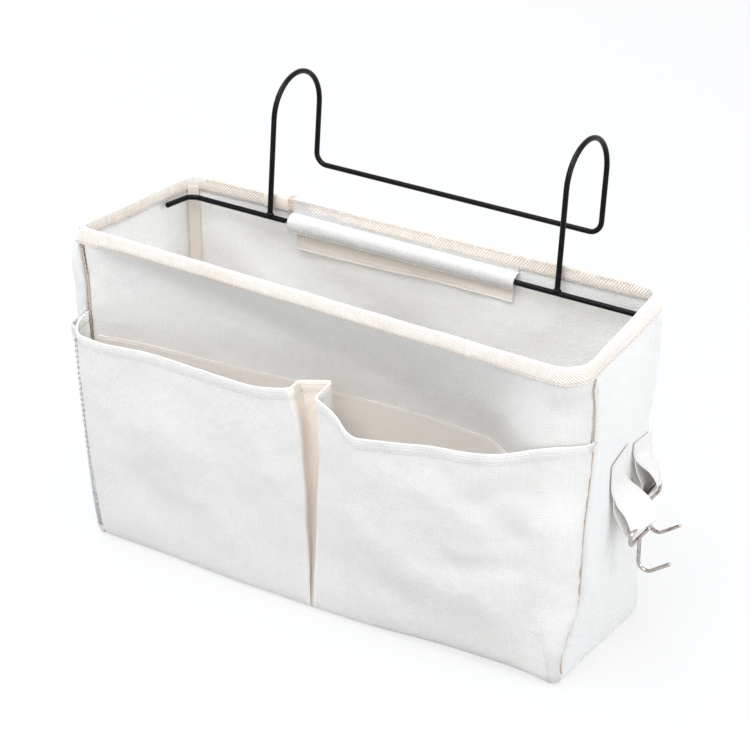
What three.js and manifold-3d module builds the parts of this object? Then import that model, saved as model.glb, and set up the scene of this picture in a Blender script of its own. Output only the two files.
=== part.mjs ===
// Bedside caddy: a canvas box bag with front pockets, a net pocket, side hooks and a wire over-rail hanger.
// Millimetres, +Z up. The origin is on the underside of the base; -Y is the front with the two pockets.

import * as THREE from 'three';
import { mergeVertices } from 'three/addons/utils/BufferGeometryUtils.js';
import Module from 'manifold-3d';

const wasm = await Module();
wasm.setup();

// Bag
const RIM_WIDTH = 400;
const RIM_DEPTH = 130;
const BAG_HEIGHT = 250;
const SIDE_TAPER = 5;
const FRONT_TAPER = 5;
const CORNER_RADIUS = 5;
const INNER_CORNER_RADIUS = 1.25;
const CANVAS = 1.6;
const SEAM_GAP = 0.3;
const BOARD_THICKNESS = 2;
const BOARD_CLEARANCE = 1;

// Rim binding, and the overlap where its two ends meet on the back edge
const BINDING_HEIGHT = 11;
const BINDING_TAPE = 0.8;
const JOIN_CENTRE = -118;
const JOIN_LENGTH = 22;
const JOIN_EXTRA = 0.6;

// Bound seam allowances inside the upright corners
const TAPE_WIDTH = 12;
const TAPE_THICKNESS = 1.6;
const TAPE_SETBACK = 2;

// Front pockets
const POCKET_HEIGHT = 184;
const POCKET_CANVAS = 1.2;
const HEM_HEIGHT = 9;
const HEM_EXTRA = 0.6;
const HEM_STEP = 0.4;
const BACKING_HEIGHT = 170;
const BACKING_THICKNESS = 0.8;
const LEFT_FULLNESS = 13;
const RIGHT_FULLNESS = 21;
const LEFT_SAG = 5;
const RIGHT_SAG = 13;
const PLEAT_CENTRE = -3;
const PLEAT_TOP_WIDTH = 20;
const PLEAT_FOOT_WIDTH = 4;
const PLEAT_DEPTH = 8;
const PLEAT_WALL_LEAN = 1.5;
const PLEAT_WALL_SHARE = 0.2;
const PLEAT_OPENING_POWER = 2.2;
const FULLNESS_POWER = 1.2;
const BULGE_POWER = 4;
const POCKET_END_INSET = 3;

// Net pocket on the left side
const NET_HEIGHT = 174;
const NET_FOOT = 5;
const NET_INSET = 6.5;
const NET_TOP_STANDOFF = 12;
const NET_FOOT_STANDOFF = 3.4;
const NET_THREAD = 0.9;
const NET_COLUMNS = 11;
const NET_ROWS = 17;
const NET_STRAND = 2;
const NET_HEM_HEIGHT = 8;
const NET_HEM_THICKNESS = 0.8;

// Side tabs on the right side
const TAB_WIDTH = 24;
const TAB_CLOTH = 1.3;
const TAB_TOP = 150;
const TAB_SEWN_LENGTH = 29;
const TAB_LOOP_LENGTH = 24;
const TAB_LOOP_RADIUS = 3;
const TAB_BACK_INSET = 17;
const TAB_SPACING = 34;
const TAB_BACK_RISE = 15;
const TAB_FRONT_FLARE = 38;
const TAB_BACK_FLARE = 12;

// Side hooks, bent from round wire
const HOOK_WIRE = 2.8;
const HOOK_EYE_CLEARANCE = 0.6;
const HOOK_EYE_DROP = 9.5;
const HOOK_SHANK = 18;
const HOOK_BEND_RADIUS = 6.5;
const HOOK_PRONG = 17;
const HOOK_PRONG_RISE = 36;

// Hanger, bent from round wire
const HANGER_WIRE = 4;
const HANGER_LEAN = 6;
const BAR_BELOW_BINDING = 5;
const RISER_CLEARANCE = 0.5;
const BAR_END_CLEARANCE = 2.2;
const BAR_LEG = 29.5;
const BAR_BEND_RADIUS = 8;
const POST_SPACING = 240;
const HOOK_RISE = 104;
const HOOK_GAP = 59;
const REAR_BAR_RISE = 27.5;
const REAR_BEND_RADIUS = 9;
const WELD_WIDTH = 1.5;
const WELD_WAIST = 0.5;
const WELD_HEIGHT = 2.4;

// Flap over the hanger bar and its fastener strips
const FLAP_LEFT_GAP = 17;
const FLAP_RIGHT_GAP = 33;
const FLAP_CLOTH = 1.2;
const FLAP_DROP = 8.5;
const STRIP_THICKNESS = 1;
const STRIP_MARGIN = 3;
const FLAP_STRIP_HEIGHT = 4;
const WALL_STRIP_HEIGHT = 15;

// Facets
const WIRE_SIDES = 8;
const ARC_STEP = Math.PI / 14;
const BULGE_STEPS = 10;
const POCKET_ROWS = 9;
const LOOP_SEGMENTS = 10;
const CORNER_SEGMENTS = 4;
const SHORTEST_RUN = 0.1;
const OVERSHOOT = 5;

const FINISHES = {
  canvas: { color: 0xece7df, roughness: 0.92, metalness: 0 },
  tape: { color: 0xe9e3d8, roughness: 0.88, metalness: 0 },
  net: { color: 0xf2f1ee, roughness: 0.7, metalness: 0 },
  board: { color: 0xb9a88d, roughness: 0.9, metalness: 0 },
  strip: { color: 0xd8c9b2, roughness: 0.95, metalness: 0 },
  blackWire: { color: 0x0b0b0c, roughness: 0.28, metalness: 0.2 },
  nickel: { color: 0xc9c8c4, roughness: 0.22, metalness: 1 },
};

const rad = THREE.MathUtils.degToRad;

// Booleans

function solid(geometry) {
  const bare = geometry.clone();
  bare.deleteAttribute('normal');
  bare.deleteAttribute('uv');
  const merged = mergeVertices(bare);
  return new wasm.Manifold(new wasm.Mesh({
    numProp: 3,
    vertProperties: new Float32Array(merged.attributes.position.array),
    triVerts: new Uint32Array(merged.index.array),
  }));
}

function geometryOf(manifold) {
  const { vertProperties, triVerts } = manifold.getMesh();
  const geometry = new THREE.BufferGeometry();
  geometry.setAttribute('position', new THREE.BufferAttribute(new Float32Array(vertProperties), 3));
  geometry.setIndex(new THREE.BufferAttribute(new Uint32Array(triVerts), 1));
  geometry.computeVertexNormals();
  return geometry;
}

function block(low, high) {
  const size = high.map((value, axis) => value - low[axis]);
  const middle = high.map((value, axis) => (value + low[axis]) / 2);
  return solid(new THREE.BoxGeometry(...size).translate(...middle));
}

// Lofts

function loft(sections) {
  const count = sections[0].points.length;
  const positions = [];
  for (const { points, z } of sections) {
    for (const point of points) positions.push(point.x, point.y, z);
  }
  const index = [];
  for (let level = 0; level + 1 < sections.length; level++) {
    for (let i = 0; i < count; i++) {
      const a = level * count + i;
      const b = level * count + (i + 1) % count;
      index.push(a, b, b + count, a, b + count, a + count);
    }
  }
  const top = (sections.length - 1) * count;
  for (const [a, b, c] of THREE.ShapeUtils.triangulateShape(sections[0].points, [])) {
    index.push(a, c, b, top + a, top + b, top + c);
  }
  const geometry = new THREE.BufferGeometry();
  geometry.setAttribute('position', new THREE.Float32BufferAttribute(positions, 3));
  geometry.setIndex(index);
  geometry.computeVertexNormals();
  return geometry;
}

// The bag's outside: the back is upright, the front and the sides lean out towards the rim

const backY = RIM_DEPTH / 2;
const halfWidthAt = (z) => RIM_WIDTH / 2 - SIDE_TAPER * (1 - z / BAG_HEIGHT);
const frontYAt = (z) => -RIM_DEPTH / 2 + FRONT_TAPER * (1 - z / BAG_HEIGHT);

function outline(z, offset) {
  const half = halfWidthAt(z) + offset;
  const front = frontYAt(z) - offset;
  const back = backY + offset;
  const radius = Math.max(CORNER_RADIUS + offset, INNER_CORNER_RADIUS);
  const shape = new THREE.Shape();
  shape.absarc(half - radius, front + radius, radius, -Math.PI / 2, 0, false);
  shape.absarc(half - radius, back - radius, radius, 0, Math.PI / 2, false);
  shape.absarc(-half + radius, back - radius, radius, Math.PI / 2, Math.PI, false);
  shape.absarc(-half + radius, front + radius, radius, Math.PI, 1.5 * Math.PI, false);
  return shape.extractPoints(CORNER_SEGMENTS).shape;
}

function bagForm(offset, low, high) {
  return solid(loft([{ points: outline(low, offset), z: low }, { points: outline(high, offset), z: high }]));
}

// A layer round the bag between two distances from its outside, positive outwards
function wallLayer(inner, outer, low, high) {
  return bagForm(outer, low, high).subtract(bagForm(inner, low - OVERSHOOT, high + OVERSHOOT));
}

// Upright wedge that holds one wall up to the seams at its two corners
function wedge(side) {
  const reach = 2 * CORNER_RADIUS + CANVAS + OVERSHOOT;
  const slit = SEAM_GAP / Math.SQRT2;
  const section = (z) => {
    const half = halfWidthAt(z);
    const front = frontYAt(z);
    const corners = {
      front: [[-half, front, 1, 1], [half, front, -1, 1]],
      back: [[half, backY, -1, -1], [-half, backY, 1, -1]],
      left: [[-half, backY, 1, -1], [-half, front, 1, 1]],
      right: [[half, front, -1, 1], [half, backY, -1, -1]],
    }[side];
    const along = side === 'front' || side === 'back';
    const place = ([x, y, dx, dy], depth) => new THREE.Vector2(
      x + dx * (depth + (along ? slit : 0)),
      y + dy * (depth + (along ? 0 : slit)),
    );
    const outside = [place(corners[0], -reach), place(corners[1], -reach)];
    const inside = [place(corners[1], reach), place(corners[0], reach)];
    return { points: [...outside, ...inside], z };
  };
  return solid(loft([section(-OVERSHOOT), section(BAG_HEIGHT + OVERSHOOT)]));
}

const wallFoot = CANVAS + SEAM_GAP;
const walls = wallLayer(-CANVAS, 0, wallFoot, BAG_HEIGHT);
const panel = (side) => walls.intersect(wedge(side));

function basePanel() {
  return bagForm(0, 0, CANVAS);
}

function baseBoard() {
  return bagForm(-CANVAS - BOARD_CLEARANCE, wallFoot, wallFoot + BOARD_THICKNESS);
}

// Binding folded over the rim
const bindingFoot = BAG_HEIGHT - BINDING_HEIGHT;
const bindingTop = BAG_HEIGHT + SEAM_GAP + BINDING_TAPE;

function foldedTape(extra) {
  const outside = SEAM_GAP + BINDING_TAPE + extra;
  const jacket = wallLayer(-CANVAS - outside, outside, bindingFoot, bindingTop + extra);
  const slot = wallLayer(-CANVAS - SEAM_GAP, SEAM_GAP, bindingFoot - OVERSHOOT, BAG_HEIGHT + SEAM_GAP);
  return jacket.subtract(slot);
}

function rimBinding() {
  const half = JOIN_LENGTH / 2;
  const span = block(
    [JOIN_CENTRE - half, 0, bindingFoot - OVERSHOOT],
    [JOIN_CENTRE + half, RIM_DEPTH, bindingTop + OVERSHOOT],
  );
  return foldedTape(0).add(foldedTape(JOIN_EXTRA).intersect(span));
}

// Bound seam allowance turned on to a side wall beside its corner
function cornerTape(sideSign, atBack) {
  const layer = wallLayer(
    -CANVAS - SEAM_GAP - TAPE_THICKNESS, -CANVAS - SEAM_GAP,
    wallFoot + BOARD_THICKNESS + SEAM_GAP, bindingFoot - SEAM_GAP,
  );
  const setback = CANVAS + TAPE_THICKNESS + CORNER_RADIUS + TAPE_SETBACK;
  const near = atBack ? backY - setback - TAPE_WIDTH : frontYAt(0) + setback;
  const [left, right] = sideSign < 0 ? [-RIM_WIDTH, 0] : [0, RIM_WIDTH];
  return layer.intersect(block([left, near, 0], [right, near + TAPE_WIDTH, BAG_HEIGHT]));
}

// Cloth layer behind the pockets
function pocketBacking() {
  const half = halfWidthAt(0) - CORNER_RADIUS;
  return wallLayer(SEAM_GAP, SEAM_GAP + BACKING_THICKNESS, wallFoot, BACKING_HEIGHT)
    .intersect(block([-half, -RIM_DEPTH, 0], [half, 0, BACKING_HEIGHT]));
}

// Cloth sheet with a front and a back face, from rows of [front, back] point pairs
function sheet(rows) {
  const across = rows[0].length;
  const positions = [];
  for (const face of [0, 1]) {
    for (const row of rows) {
      for (const pair of row) positions.push(pair[face].x, pair[face].y, pair[face].z);
    }
  }
  const backStart = rows.length * across;
  const at = (row, column) => row * across + column;
  const index = [];
  const quad = (a, b, c, d) => index.push(a, b, c, a, c, d);
  for (let r = 0; r + 1 < rows.length; r++) {
    for (let c = 0; c + 1 < across; c++) {
      const corners = [at(r, c), at(r, c + 1), at(r + 1, c + 1), at(r + 1, c)];
      quad(...corners);
      quad(...corners.reverse().map((i) => i + backStart));
    }
    const last = across - 1;
    quad(at(r, 0), at(r + 1, 0), at(r + 1, 0) + backStart, at(r, 0) + backStart);
    quad(at(r + 1, last), at(r, last), at(r, last) + backStart, at(r + 1, last) + backStart);
  }
  const top = rows.length - 1;
  for (let c = 0; c + 1 < across; c++) {
    quad(at(0, c + 1), at(0, c), at(0, c) + backStart, at(0, c + 1) + backStart);
    quad(at(top, c), at(top, c + 1), at(top, c + 1) + backStart, at(top, c) + backStart);
  }
  const geometry = new THREE.BufferGeometry();
  geometry.setAttribute('position', new THREE.Float32BufferAttribute(positions, 3));
  geometry.setIndex(index);
  geometry.computeVertexNormals();
  return geometry;
}

// Points of a plan line moved to its left by a distance, with mitred corners
function offsetLine(line, distance) {
  const normal = (a, b) => new THREE.Vector2(-(b.y - a.y), b.x - a.x).normalize();
  return line.map((point, i) => {
    const before = i > 0 ? normal(line[i - 1], point) : normal(point, line[1]);
    const after = i + 1 < line.length ? normal(point, line[i + 1]) : before;
    const mitre = before.clone().add(after).normalize();
    return point.clone().addScaledVector(mitre, distance / mitre.dot(before));
  });
}

// Front pockets: one panel sewn at both corners and along the base, full at the top, with an inverted
// box pleat between the pockets whose folds close towards the base
const clothOffset = SEAM_GAP + BACKING_THICKNESS + SEAM_GAP;
const sewnOffset = clothOffset + POCKET_CANVAS + HEM_EXTRA;

function pocketLine(rise) {
  const fullness = Math.sin(rise * Math.PI / 2) ** FULLNESS_POWER;
  const open = rise ** PLEAT_OPENING_POWER;
  const width = PLEAT_FOOT_WIDTH + (PLEAT_TOP_WIDTH - PLEAT_FOOT_WIDTH) * open;
  const folds = [PLEAT_CENTRE - width / 2, PLEAT_CENTRE + width / 2];
  const end = halfWidthAt(0) + SIDE_TAPER * rise * POCKET_HEIGHT / BAG_HEIGHT - POCKET_END_INSET;
  const line = [];
  const bulge = (from, to, fold, depth, sag) => {
    for (let step = 0; step <= BULGE_STEPS; step++) {
      const s = -Math.cos(Math.PI * step / BULGE_STEPS);
      const towardsFold = fold === 'right' ? (1 + s) / 2 : (1 - s) / 2;
      const swell = depth * (1 - s ** BULGE_POWER) + PLEAT_DEPTH * towardsFold;
      line.push({
        x: from + (to - from) * (1 + s) / 2,
        stand: sewnOffset + fullness * swell,
        top: POCKET_HEIGHT - sag * (1 - s * s),
      });
    }
  };
  const floor = (x) => line.push({ x, stand: sewnOffset, top: POCKET_HEIGHT });
  bulge(-end, folds[0], 'right', LEFT_FULLNESS, LEFT_SAG);
  const lean = Math.min(PLEAT_WALL_LEAN, width * PLEAT_WALL_SHARE);
  floor(folds[0] + lean);
  floor(folds[1] - lean);
  bulge(folds[1], end, 'left', RIGHT_FULLNESS, RIGHT_SAG);
  return line;
}

function frontPocketPanel() {
  const foot = wallFoot;
  const hemStart = 1 - HEM_HEIGHT / (POCKET_HEIGHT - foot);
  const stepShare = HEM_STEP / (POCKET_HEIGHT - foot);
  const levels = [];
  for (let row = 0; row < POCKET_ROWS; row++) {
    levels.push({ rise: hemStart * row / POCKET_ROWS, cloth: POCKET_CANVAS });
  }
  levels.push({ rise: hemStart - stepShare, cloth: POCKET_CANVAS });
  levels.push({ rise: hemStart, cloth: POCKET_CANVAS + HEM_EXTRA });
  levels.push({ rise: 1, cloth: POCKET_CANVAS + HEM_EXTRA });
  const rows = levels.map(({ rise, cloth }) => {
    const line = pocketLine(rise);
    const plan = line.map(({ x, stand }) => new THREE.Vector2(x, -stand));
    const inner = offsetLine(plan, cloth);
    return line.map(({ top }, i) => {
      const z = foot + (top - foot) * rise;
      const wallY = frontYAt(z);
      return [
        new THREE.Vector3(plan[i].x, wallY + plan[i].y, z),
        new THREE.Vector3(inner[i].x, wallY + inner[i].y, z),
      ];
    });
  });
  return sheet(rows);
}

// Plates that stand in an upright plane: a shape drawn in (u, z), given a thickness along the third axis

function plate(shape, depth) {
  return new THREE.ExtrudeGeometry(shape, { depth, bevelEnabled: false, curveSegments: LOOP_SEGMENTS });
}

function acrossX(shape, thickness) {
  return plate(shape, thickness).applyMatrix4(new THREE.Matrix4().makeBasis(
    new THREE.Vector3(0, 1, 0), new THREE.Vector3(0, 0, 1), new THREE.Vector3(1, 0, 0),
  ));
}

function acrossY(shape, thickness) {
  return plate(shape, thickness).rotateX(Math.PI / 2).translate(0, thickness, 0);
}

// Net pocket: a flat net face that stands off the left wall, closed by gussets and hems
const netDepth = backY - frontYAt(0) - 2 * NET_INSET;
const netPlaneX = (z) => {
  const share = (z - NET_FOOT) / (NET_HEIGHT - NET_FOOT);
  const standoff = NET_FOOT_STANDOFF + (NET_TOP_STANDOFF - NET_FOOT_STANDOFF) * share;
  return -halfWidthAt(z) - standoff;
};
const netLean = Math.atan2(netPlaneX(NET_FOOT) - netPlaneX(NET_HEIGHT), NET_HEIGHT - NET_FOOT);
const netMiddle = (frontYAt(0) + backY) / 2;

function diamond(u, v, halfU, halfV) {
  const path = new THREE.Path();
  path.moveTo(u - halfU, v);
  path.lineTo(u, v - halfV);
  path.lineTo(u + halfU, v);
  path.lineTo(u, v + halfV);
  path.closePath();
  return path;
}

function rectangle(low, high) {
  const shape = new THREE.Shape();
  shape.moveTo(low[0], low[1]);
  shape.lineTo(high[0], low[1]);
  shape.lineTo(high[0], high[1]);
  shape.lineTo(low[0], high[1]);
  shape.closePath();
  return shape;
}

function netFace() {
  const half = netDepth / 2;
  const length = (NET_HEIGHT - NET_FOOT) / Math.cos(netLean);
  const shape = rectangle([-half, 0], [half, length]);
  const pitchU = netDepth / NET_COLUMNS;
  const pitchV = length / NET_ROWS;
  for (let row = 0; row < NET_ROWS; row++) {
    const shifted = row % 2;
    for (let column = 0; column < NET_COLUMNS - shifted; column++) {
      const u = -half + pitchU * (column + 0.5 + shifted / 2);
      const v = pitchV * (row + 0.5);
      shape.holes.push(diamond(u, v, (pitchU - NET_STRAND) / 2, (pitchV - NET_STRAND) / 2));
    }
  }
  return acrossX(shape, NET_THREAD);
}

function netGusset() {
  const low = NET_FOOT;
  const high = NET_HEIGHT;
  const wallEdge = (z) => -halfWidthAt(z) - SEAM_GAP;
  const shape = new THREE.Shape();
  shape.moveTo(netPlaneX(low) + NET_THREAD + SEAM_GAP, low);
  shape.lineTo(wallEdge(low), low);
  shape.lineTo(wallEdge(high), high);
  shape.lineTo(netPlaneX(high) + NET_THREAD + SEAM_GAP, high);
  shape.closePath();
  const pitch = (high - low) / NET_ROWS;
  for (let row = 0; row < NET_ROWS; row++) {
    const z = low + pitch * (row + 0.5);
    const width = wallEdge(z) - netPlaneX(z) - NET_THREAD - SEAM_GAP;
    const middle = wallEdge(z) - width / 2;
    const holeHalf = (width - NET_STRAND) / 2;
    if (holeHalf > NET_STRAND / 2) shape.holes.push(diamond(middle, z, holeHalf, (pitch - NET_STRAND) / 2));
  }
  return acrossY(shape, NET_THREAD);
}

// Tape folded over the top edge of the net
function netTopHem() {
  const jacket = NET_HEM_THICKNESS + SEAM_GAP;
  const shape = rectangle([-jacket, -NET_HEM_HEIGHT], [NET_THREAD + jacket, jacket]);
  const slot = rectangle([-SEAM_GAP, -NET_HEM_HEIGHT - OVERSHOOT], [NET_THREAD + SEAM_GAP, SEAM_GAP]);
  const clear = netDepth - 2 * (NET_THREAD + SEAM_GAP);
  return geometryOf(solid(acrossY(shape, clear)).subtract(solid(acrossY(slot, clear + OVERSHOOT))));
}

// Tape that closes the foot of the net pocket against the wall
function netBottomHem() {
  const low = wallFoot;
  const high = NET_FOOT - SEAM_GAP;
  const shape = new THREE.Shape();
  shape.moveTo(netPlaneX(NET_FOOT), low);
  shape.lineTo(-halfWidthAt(low) - SEAM_GAP, low);
  shape.lineTo(-halfWidthAt(high) - SEAM_GAP, high);
  shape.lineTo(netPlaneX(NET_FOOT), high);
  shape.closePath();
  return acrossY(shape, netDepth);
}

// Side tabs: a strip folded in two, sewn flat at the top, with an open loop at the fold
const tabThickness = 2 * TAB_CLOTH;
const tabFoot = (rise) => TAB_TOP + rise - TAB_SEWN_LENGTH;
const tabRootX = (rise) => halfWidthAt(tabFoot(rise)) + SEAM_GAP + TAB_CLOTH;

function teardrop(endRadius, neck) {
  const lean = Math.asin((endRadius - neck) / TAB_LOOP_LENGTH);
  const path = new THREE.Shape();
  path.absarc(0, -TAB_LOOP_LENGTH, endRadius, Math.PI - lean, 2 * Math.PI + lean, false);
  path.absarc(0, 0, neck, lean, Math.PI - lean, false);
  path.closePath();
  return path;
}

function sideTab(centre, flare, rise) {
  const low = tabFoot(rise);
  const high = TAB_TOP + rise;
  const half = TAB_WIDTH / 2;
  const sewn = wallLayer(SEAM_GAP, SEAM_GAP + tabThickness, low, high)
    .intersect(block([0, centre - half, low], [RIM_WIDTH, centre + half, high]));
  const shape = teardrop(TAB_LOOP_RADIUS + TAB_CLOTH, TAB_CLOTH);
  shape.holes.push(teardrop(TAB_LOOP_RADIUS, SEAM_GAP));
  const loop = acrossY(shape, TAB_WIDTH)
    .rotateY(-rad(flare))
    .translate(tabRootX(rise), centre - half, low);
  return sewn.add(solid(loop));
}

// Wire paths: straight runs joined by arcs, given as stations along the wire

class WirePath extends THREE.Curve {
  constructor(stations) {
    super();
    this.stations = stations;
  }

  getPoint(t, target = new THREE.Vector3()) {
    const place = t * (this.stations.length - 1);
    const index = Math.min(Math.floor(place), this.stations.length - 2);
    return target.lerpVectors(this.stations[index], this.stations[index + 1], place - index);
  }

  getPointAt(u, target) {
    return this.getPoint(u, target);
  }

  getTangentAt(u, target = new THREE.Vector3()) {
    const index = Math.round(u * (this.stations.length - 1));
    const before = this.stations[Math.max(index - 1, 0)];
    const after = this.stations[Math.min(index + 1, this.stations.length - 1)];
    return target.subVectors(after, before).normalize();
  }
}

// Stations along corner points, each inner corner rounded to a radius
function bentWire(corners, radii) {
  const stations = [corners[0]];
  for (let i = 1; i + 1 < corners.length; i++) {
    const corner = corners[i];
    const into = corner.clone().sub(corners[i - 1]).normalize();
    const out = corners[i + 1].clone().sub(corner).normalize();
    const turn = into.angleTo(out);
    const setback = radii[i - 1] * Math.tan(turn / 2);
    const start = corner.clone().addScaledVector(into, -setback);
    const side = out.clone().addScaledVector(into, -out.dot(into)).normalize();
    const centre = start.clone().addScaledVector(side, radii[i - 1]);
    const steps = Math.ceil(turn / ARC_STEP);
    for (let step = 0; step <= steps; step++) {
      const angle = turn * step / steps;
      stations.push(centre.clone()
        .addScaledVector(side, -radii[i - 1] * Math.cos(angle))
        .addScaledVector(into, radii[i - 1] * Math.sin(angle)));
    }
  }
  stations.push(corners[corners.length - 1]);
  return stations.filter((point, i) => i === 0 || point.distanceTo(stations[i - 1]) > SHORTEST_RUN);
}

function wire(stations, diameter) {
  const section = new THREE.Shape();
  for (let side = 0; side < WIRE_SIDES; side++) {
    const angle = 2 * Math.PI * (side + 0.5) / WIRE_SIDES;
    const point = [Math.cos(angle) * diameter / 2, Math.sin(angle) * diameter / 2];
    if (side === 0) section.moveTo(...point);
    else section.lineTo(...point);
  }
  section.closePath();
  const path = new WirePath(stations);
  return new THREE.ExtrudeGeometry(section, { steps: stations.length - 1, extrudePath: path });
}

// Side hook: a rectangular eye with a J hook on its lower bar, drawn about the eye's upper bar

// Ring bent from wire into a rounded rectangle, with an eight-sided section
function hookEye(halfWidth) {
  const facet = HOOK_WIRE / (1 + Math.SQRT2);
  const bevel = (HOOK_WIRE - facet) / 2;
  const rounded = (grow, Kind) => {
    const half = halfWidth + grow;
    const low = -HOOK_EYE_DROP - grow;
    const high = grow;
    const corner = HOOK_WIRE + grow;
    const path = new Kind();
    path.absarc(half - corner, low + corner, corner, -Math.PI / 2, 0, false);
    path.absarc(half - corner, high - corner, corner, 0, Math.PI / 2, false);
    path.absarc(-half + corner, high - corner, corner, Math.PI / 2, Math.PI, false);
    path.absarc(-half + corner, low + corner, corner, Math.PI, 1.5 * Math.PI, false);
    path.closePath();
    return path;
  };
  const shape = rounded(HOOK_WIRE / 2, THREE.Shape);
  shape.holes.push(rounded(-HOOK_WIRE / 2, THREE.Path));
  const ring = new THREE.ExtrudeGeometry(shape, {
    depth: facet, bevelThickness: bevel, bevelSize: bevel, bevelOffset: -bevel, bevelSegments: 1,
    curveSegments: CORNER_SEGMENTS,
  }).translate(0, 0, -facet / 2);
  return ring.applyMatrix4(new THREE.Matrix4().makeBasis(
    new THREE.Vector3(0, 1, 0), new THREE.Vector3(0, 0, 1), new THREE.Vector3(1, 0, 0),
  ));
}

function sideHook() {
  const radius = HOOK_WIRE / 2;
  const at = (x, z) => new THREE.Vector3(x, 0, z);
  const turn = Math.PI / 2 + rad(HOOK_PRONG_RISE);
  const shankEnd = -HOOK_EYE_DROP - HOOK_SHANK;
  const stations = [at(0, -HOOK_EYE_DROP), at(0, shankEnd)];
  const steps = Math.ceil(turn / ARC_STEP);
  for (let step = 1; step <= steps; step++) {
    const angle = turn * step / steps;
    const out = HOOK_BEND_RADIUS * (1 - Math.cos(angle));
    stations.push(at(out, shankEnd - HOOK_BEND_RADIUS * Math.sin(angle)));
  }
  const bendEnd = stations[stations.length - 1];
  const prong = at(Math.cos(rad(HOOK_PRONG_RISE)), Math.sin(rad(HOOK_PRONG_RISE)));
  const tipPlace = bendEnd.clone().addScaledVector(prong, HOOK_PRONG);
  stations.push(tipPlace);
  const tip = new THREE.SphereGeometry(radius, WIRE_SIDES, WIRE_SIDES / 2).translate(...tipPlace);
  const eye = hookEye(TAB_WIDTH / 2 + HOOK_EYE_CLEARANCE + radius);
  return solid(eye).add(solid(wire(stations, HOOK_WIRE))).add(solid(tip));
}

// The eye's upper bar lies in the bottom of the tab's loop
function hookPivot(centre, flare, rise) {
  const seat = TAB_LOOP_RADIUS - HOOK_WIRE / 2 - SEAM_GAP;
  return new THREE.Vector3(
    tabRootX(rise) + TAB_LOOP_LENGTH * Math.sin(rad(flare)),
    centre,
    tabFoot(rise) - TAB_LOOP_LENGTH * Math.cos(rad(flare)) - seat,
  );
}

// Hanger, drawn about its lower bar: X along the bar, Z up the risers, Y back over the rail
const wireRadius = HANGER_WIRE / 2;
const postFoot = wireRadius + SEAM_GAP;
const barZ = bindingFoot - BAR_BELOW_BINDING;
const joinFaceY = backY - CANVAS - SEAM_GAP - BINDING_TAPE - JOIN_EXTRA;
const riserLean = Math.tan(rad(HANGER_LEAN)) * (bindingTop + JOIN_EXTRA - barZ);
const barY = joinFaceY - RISER_CLEARANCE - wireRadius - riserLean;
const tapeFaceX = halfWidthAt(barZ) - CANVAS - SEAM_GAP - TAPE_THICKNESS;
const barHalf = tapeFaceX - BAR_END_CLEARANCE - wireRadius;
const barStraight = barHalf - BAR_BEND_RADIUS - HANGER_WIRE;

function hangerLowerBar() {
  const at = (x) => new THREE.Vector3(x, 0, 0);
  return wire([at(-barStraight), at(barStraight)], HANGER_WIRE);
}

// Bend and leg that end the lower bar on one side
function hangerEnd(side) {
  const at = (x, y) => new THREE.Vector3(side * x, y, 0);
  return wire(bentWire(
    [at(barStraight + SEAM_GAP, 0), at(barHalf, 0), at(barHalf, -BAR_LEG)],
    [BAR_BEND_RADIUS],
  ), HANGER_WIRE);
}

function hangerHookWire() {
  const half = POST_SPACING / 2;
  const loopRadius = HOOK_GAP / 2;
  const loopZ = HOOK_RISE - loopRadius;
  const at = (x, y, z) => new THREE.Vector3(x, y, z);
  const loop = (x) => {
    const points = [];
    const steps = Math.ceil(Math.PI / ARC_STEP);
    for (let step = 0; step <= steps; step++) {
      const angle = Math.PI * step / steps;
      points.push(at(x, loopRadius * (1 - Math.cos(angle)), loopZ + loopRadius * Math.sin(angle)));
    }
    return points;
  };
  const rear = bentWire([
    at(-half, HOOK_GAP, loopZ), at(-half, HOOK_GAP, REAR_BAR_RISE),
    at(half, HOOK_GAP, REAR_BAR_RISE), at(half, HOOK_GAP, loopZ),
  ], [REAR_BEND_RADIUS, REAR_BEND_RADIUS]);
  return wire([
    at(-half, 0, postFoot), ...loop(-half), ...rear.slice(1, -1),
    ...loop(half).reverse(), at(half, 0, postFoot),
  ], HANGER_WIRE);
}

// Weld bead round the foot of a riser
function hangerWeld() {
  const inner = wireRadius + SEAM_GAP;
  const profile = [
    new THREE.Vector2(inner, postFoot),
    new THREE.Vector2(inner + WELD_WIDTH, postFoot),
    new THREE.Vector2(inner + WELD_WAIST, postFoot + WELD_HEIGHT / 2),
    new THREE.Vector2(inner, postFoot + WELD_HEIGHT),
    new THREE.Vector2(inner, postFoot),
  ];
  return new THREE.LatheGeometry(profile, 2 * WIRE_SIDES).rotateX(Math.PI / 2);
}

// Flap: sewn under the binding, carried over the bar and down to the fastener strip on the wall
const flapLeft = FLAP_LEFT_GAP - POST_SPACING / 2;
const flapLength = POST_SPACING - FLAP_LEFT_GAP - FLAP_RIGHT_GAP;
const stripLeft = flapLeft + STRIP_MARGIN;
const stripLength = flapLength - 2 * STRIP_MARGIN;
const wallFaceY = backY - CANVAS - SEAM_GAP;
const stripLayer = STRIP_THICKNESS + SEAM_GAP;
const flapBack = wallFaceY - STRIP_THICKNESS - SEAM_GAP - stripLayer;
const flapFoot = barZ - FLAP_DROP;
const flapSeam = bindingFoot - SEAM_GAP - FLAP_CLOTH;

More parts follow.
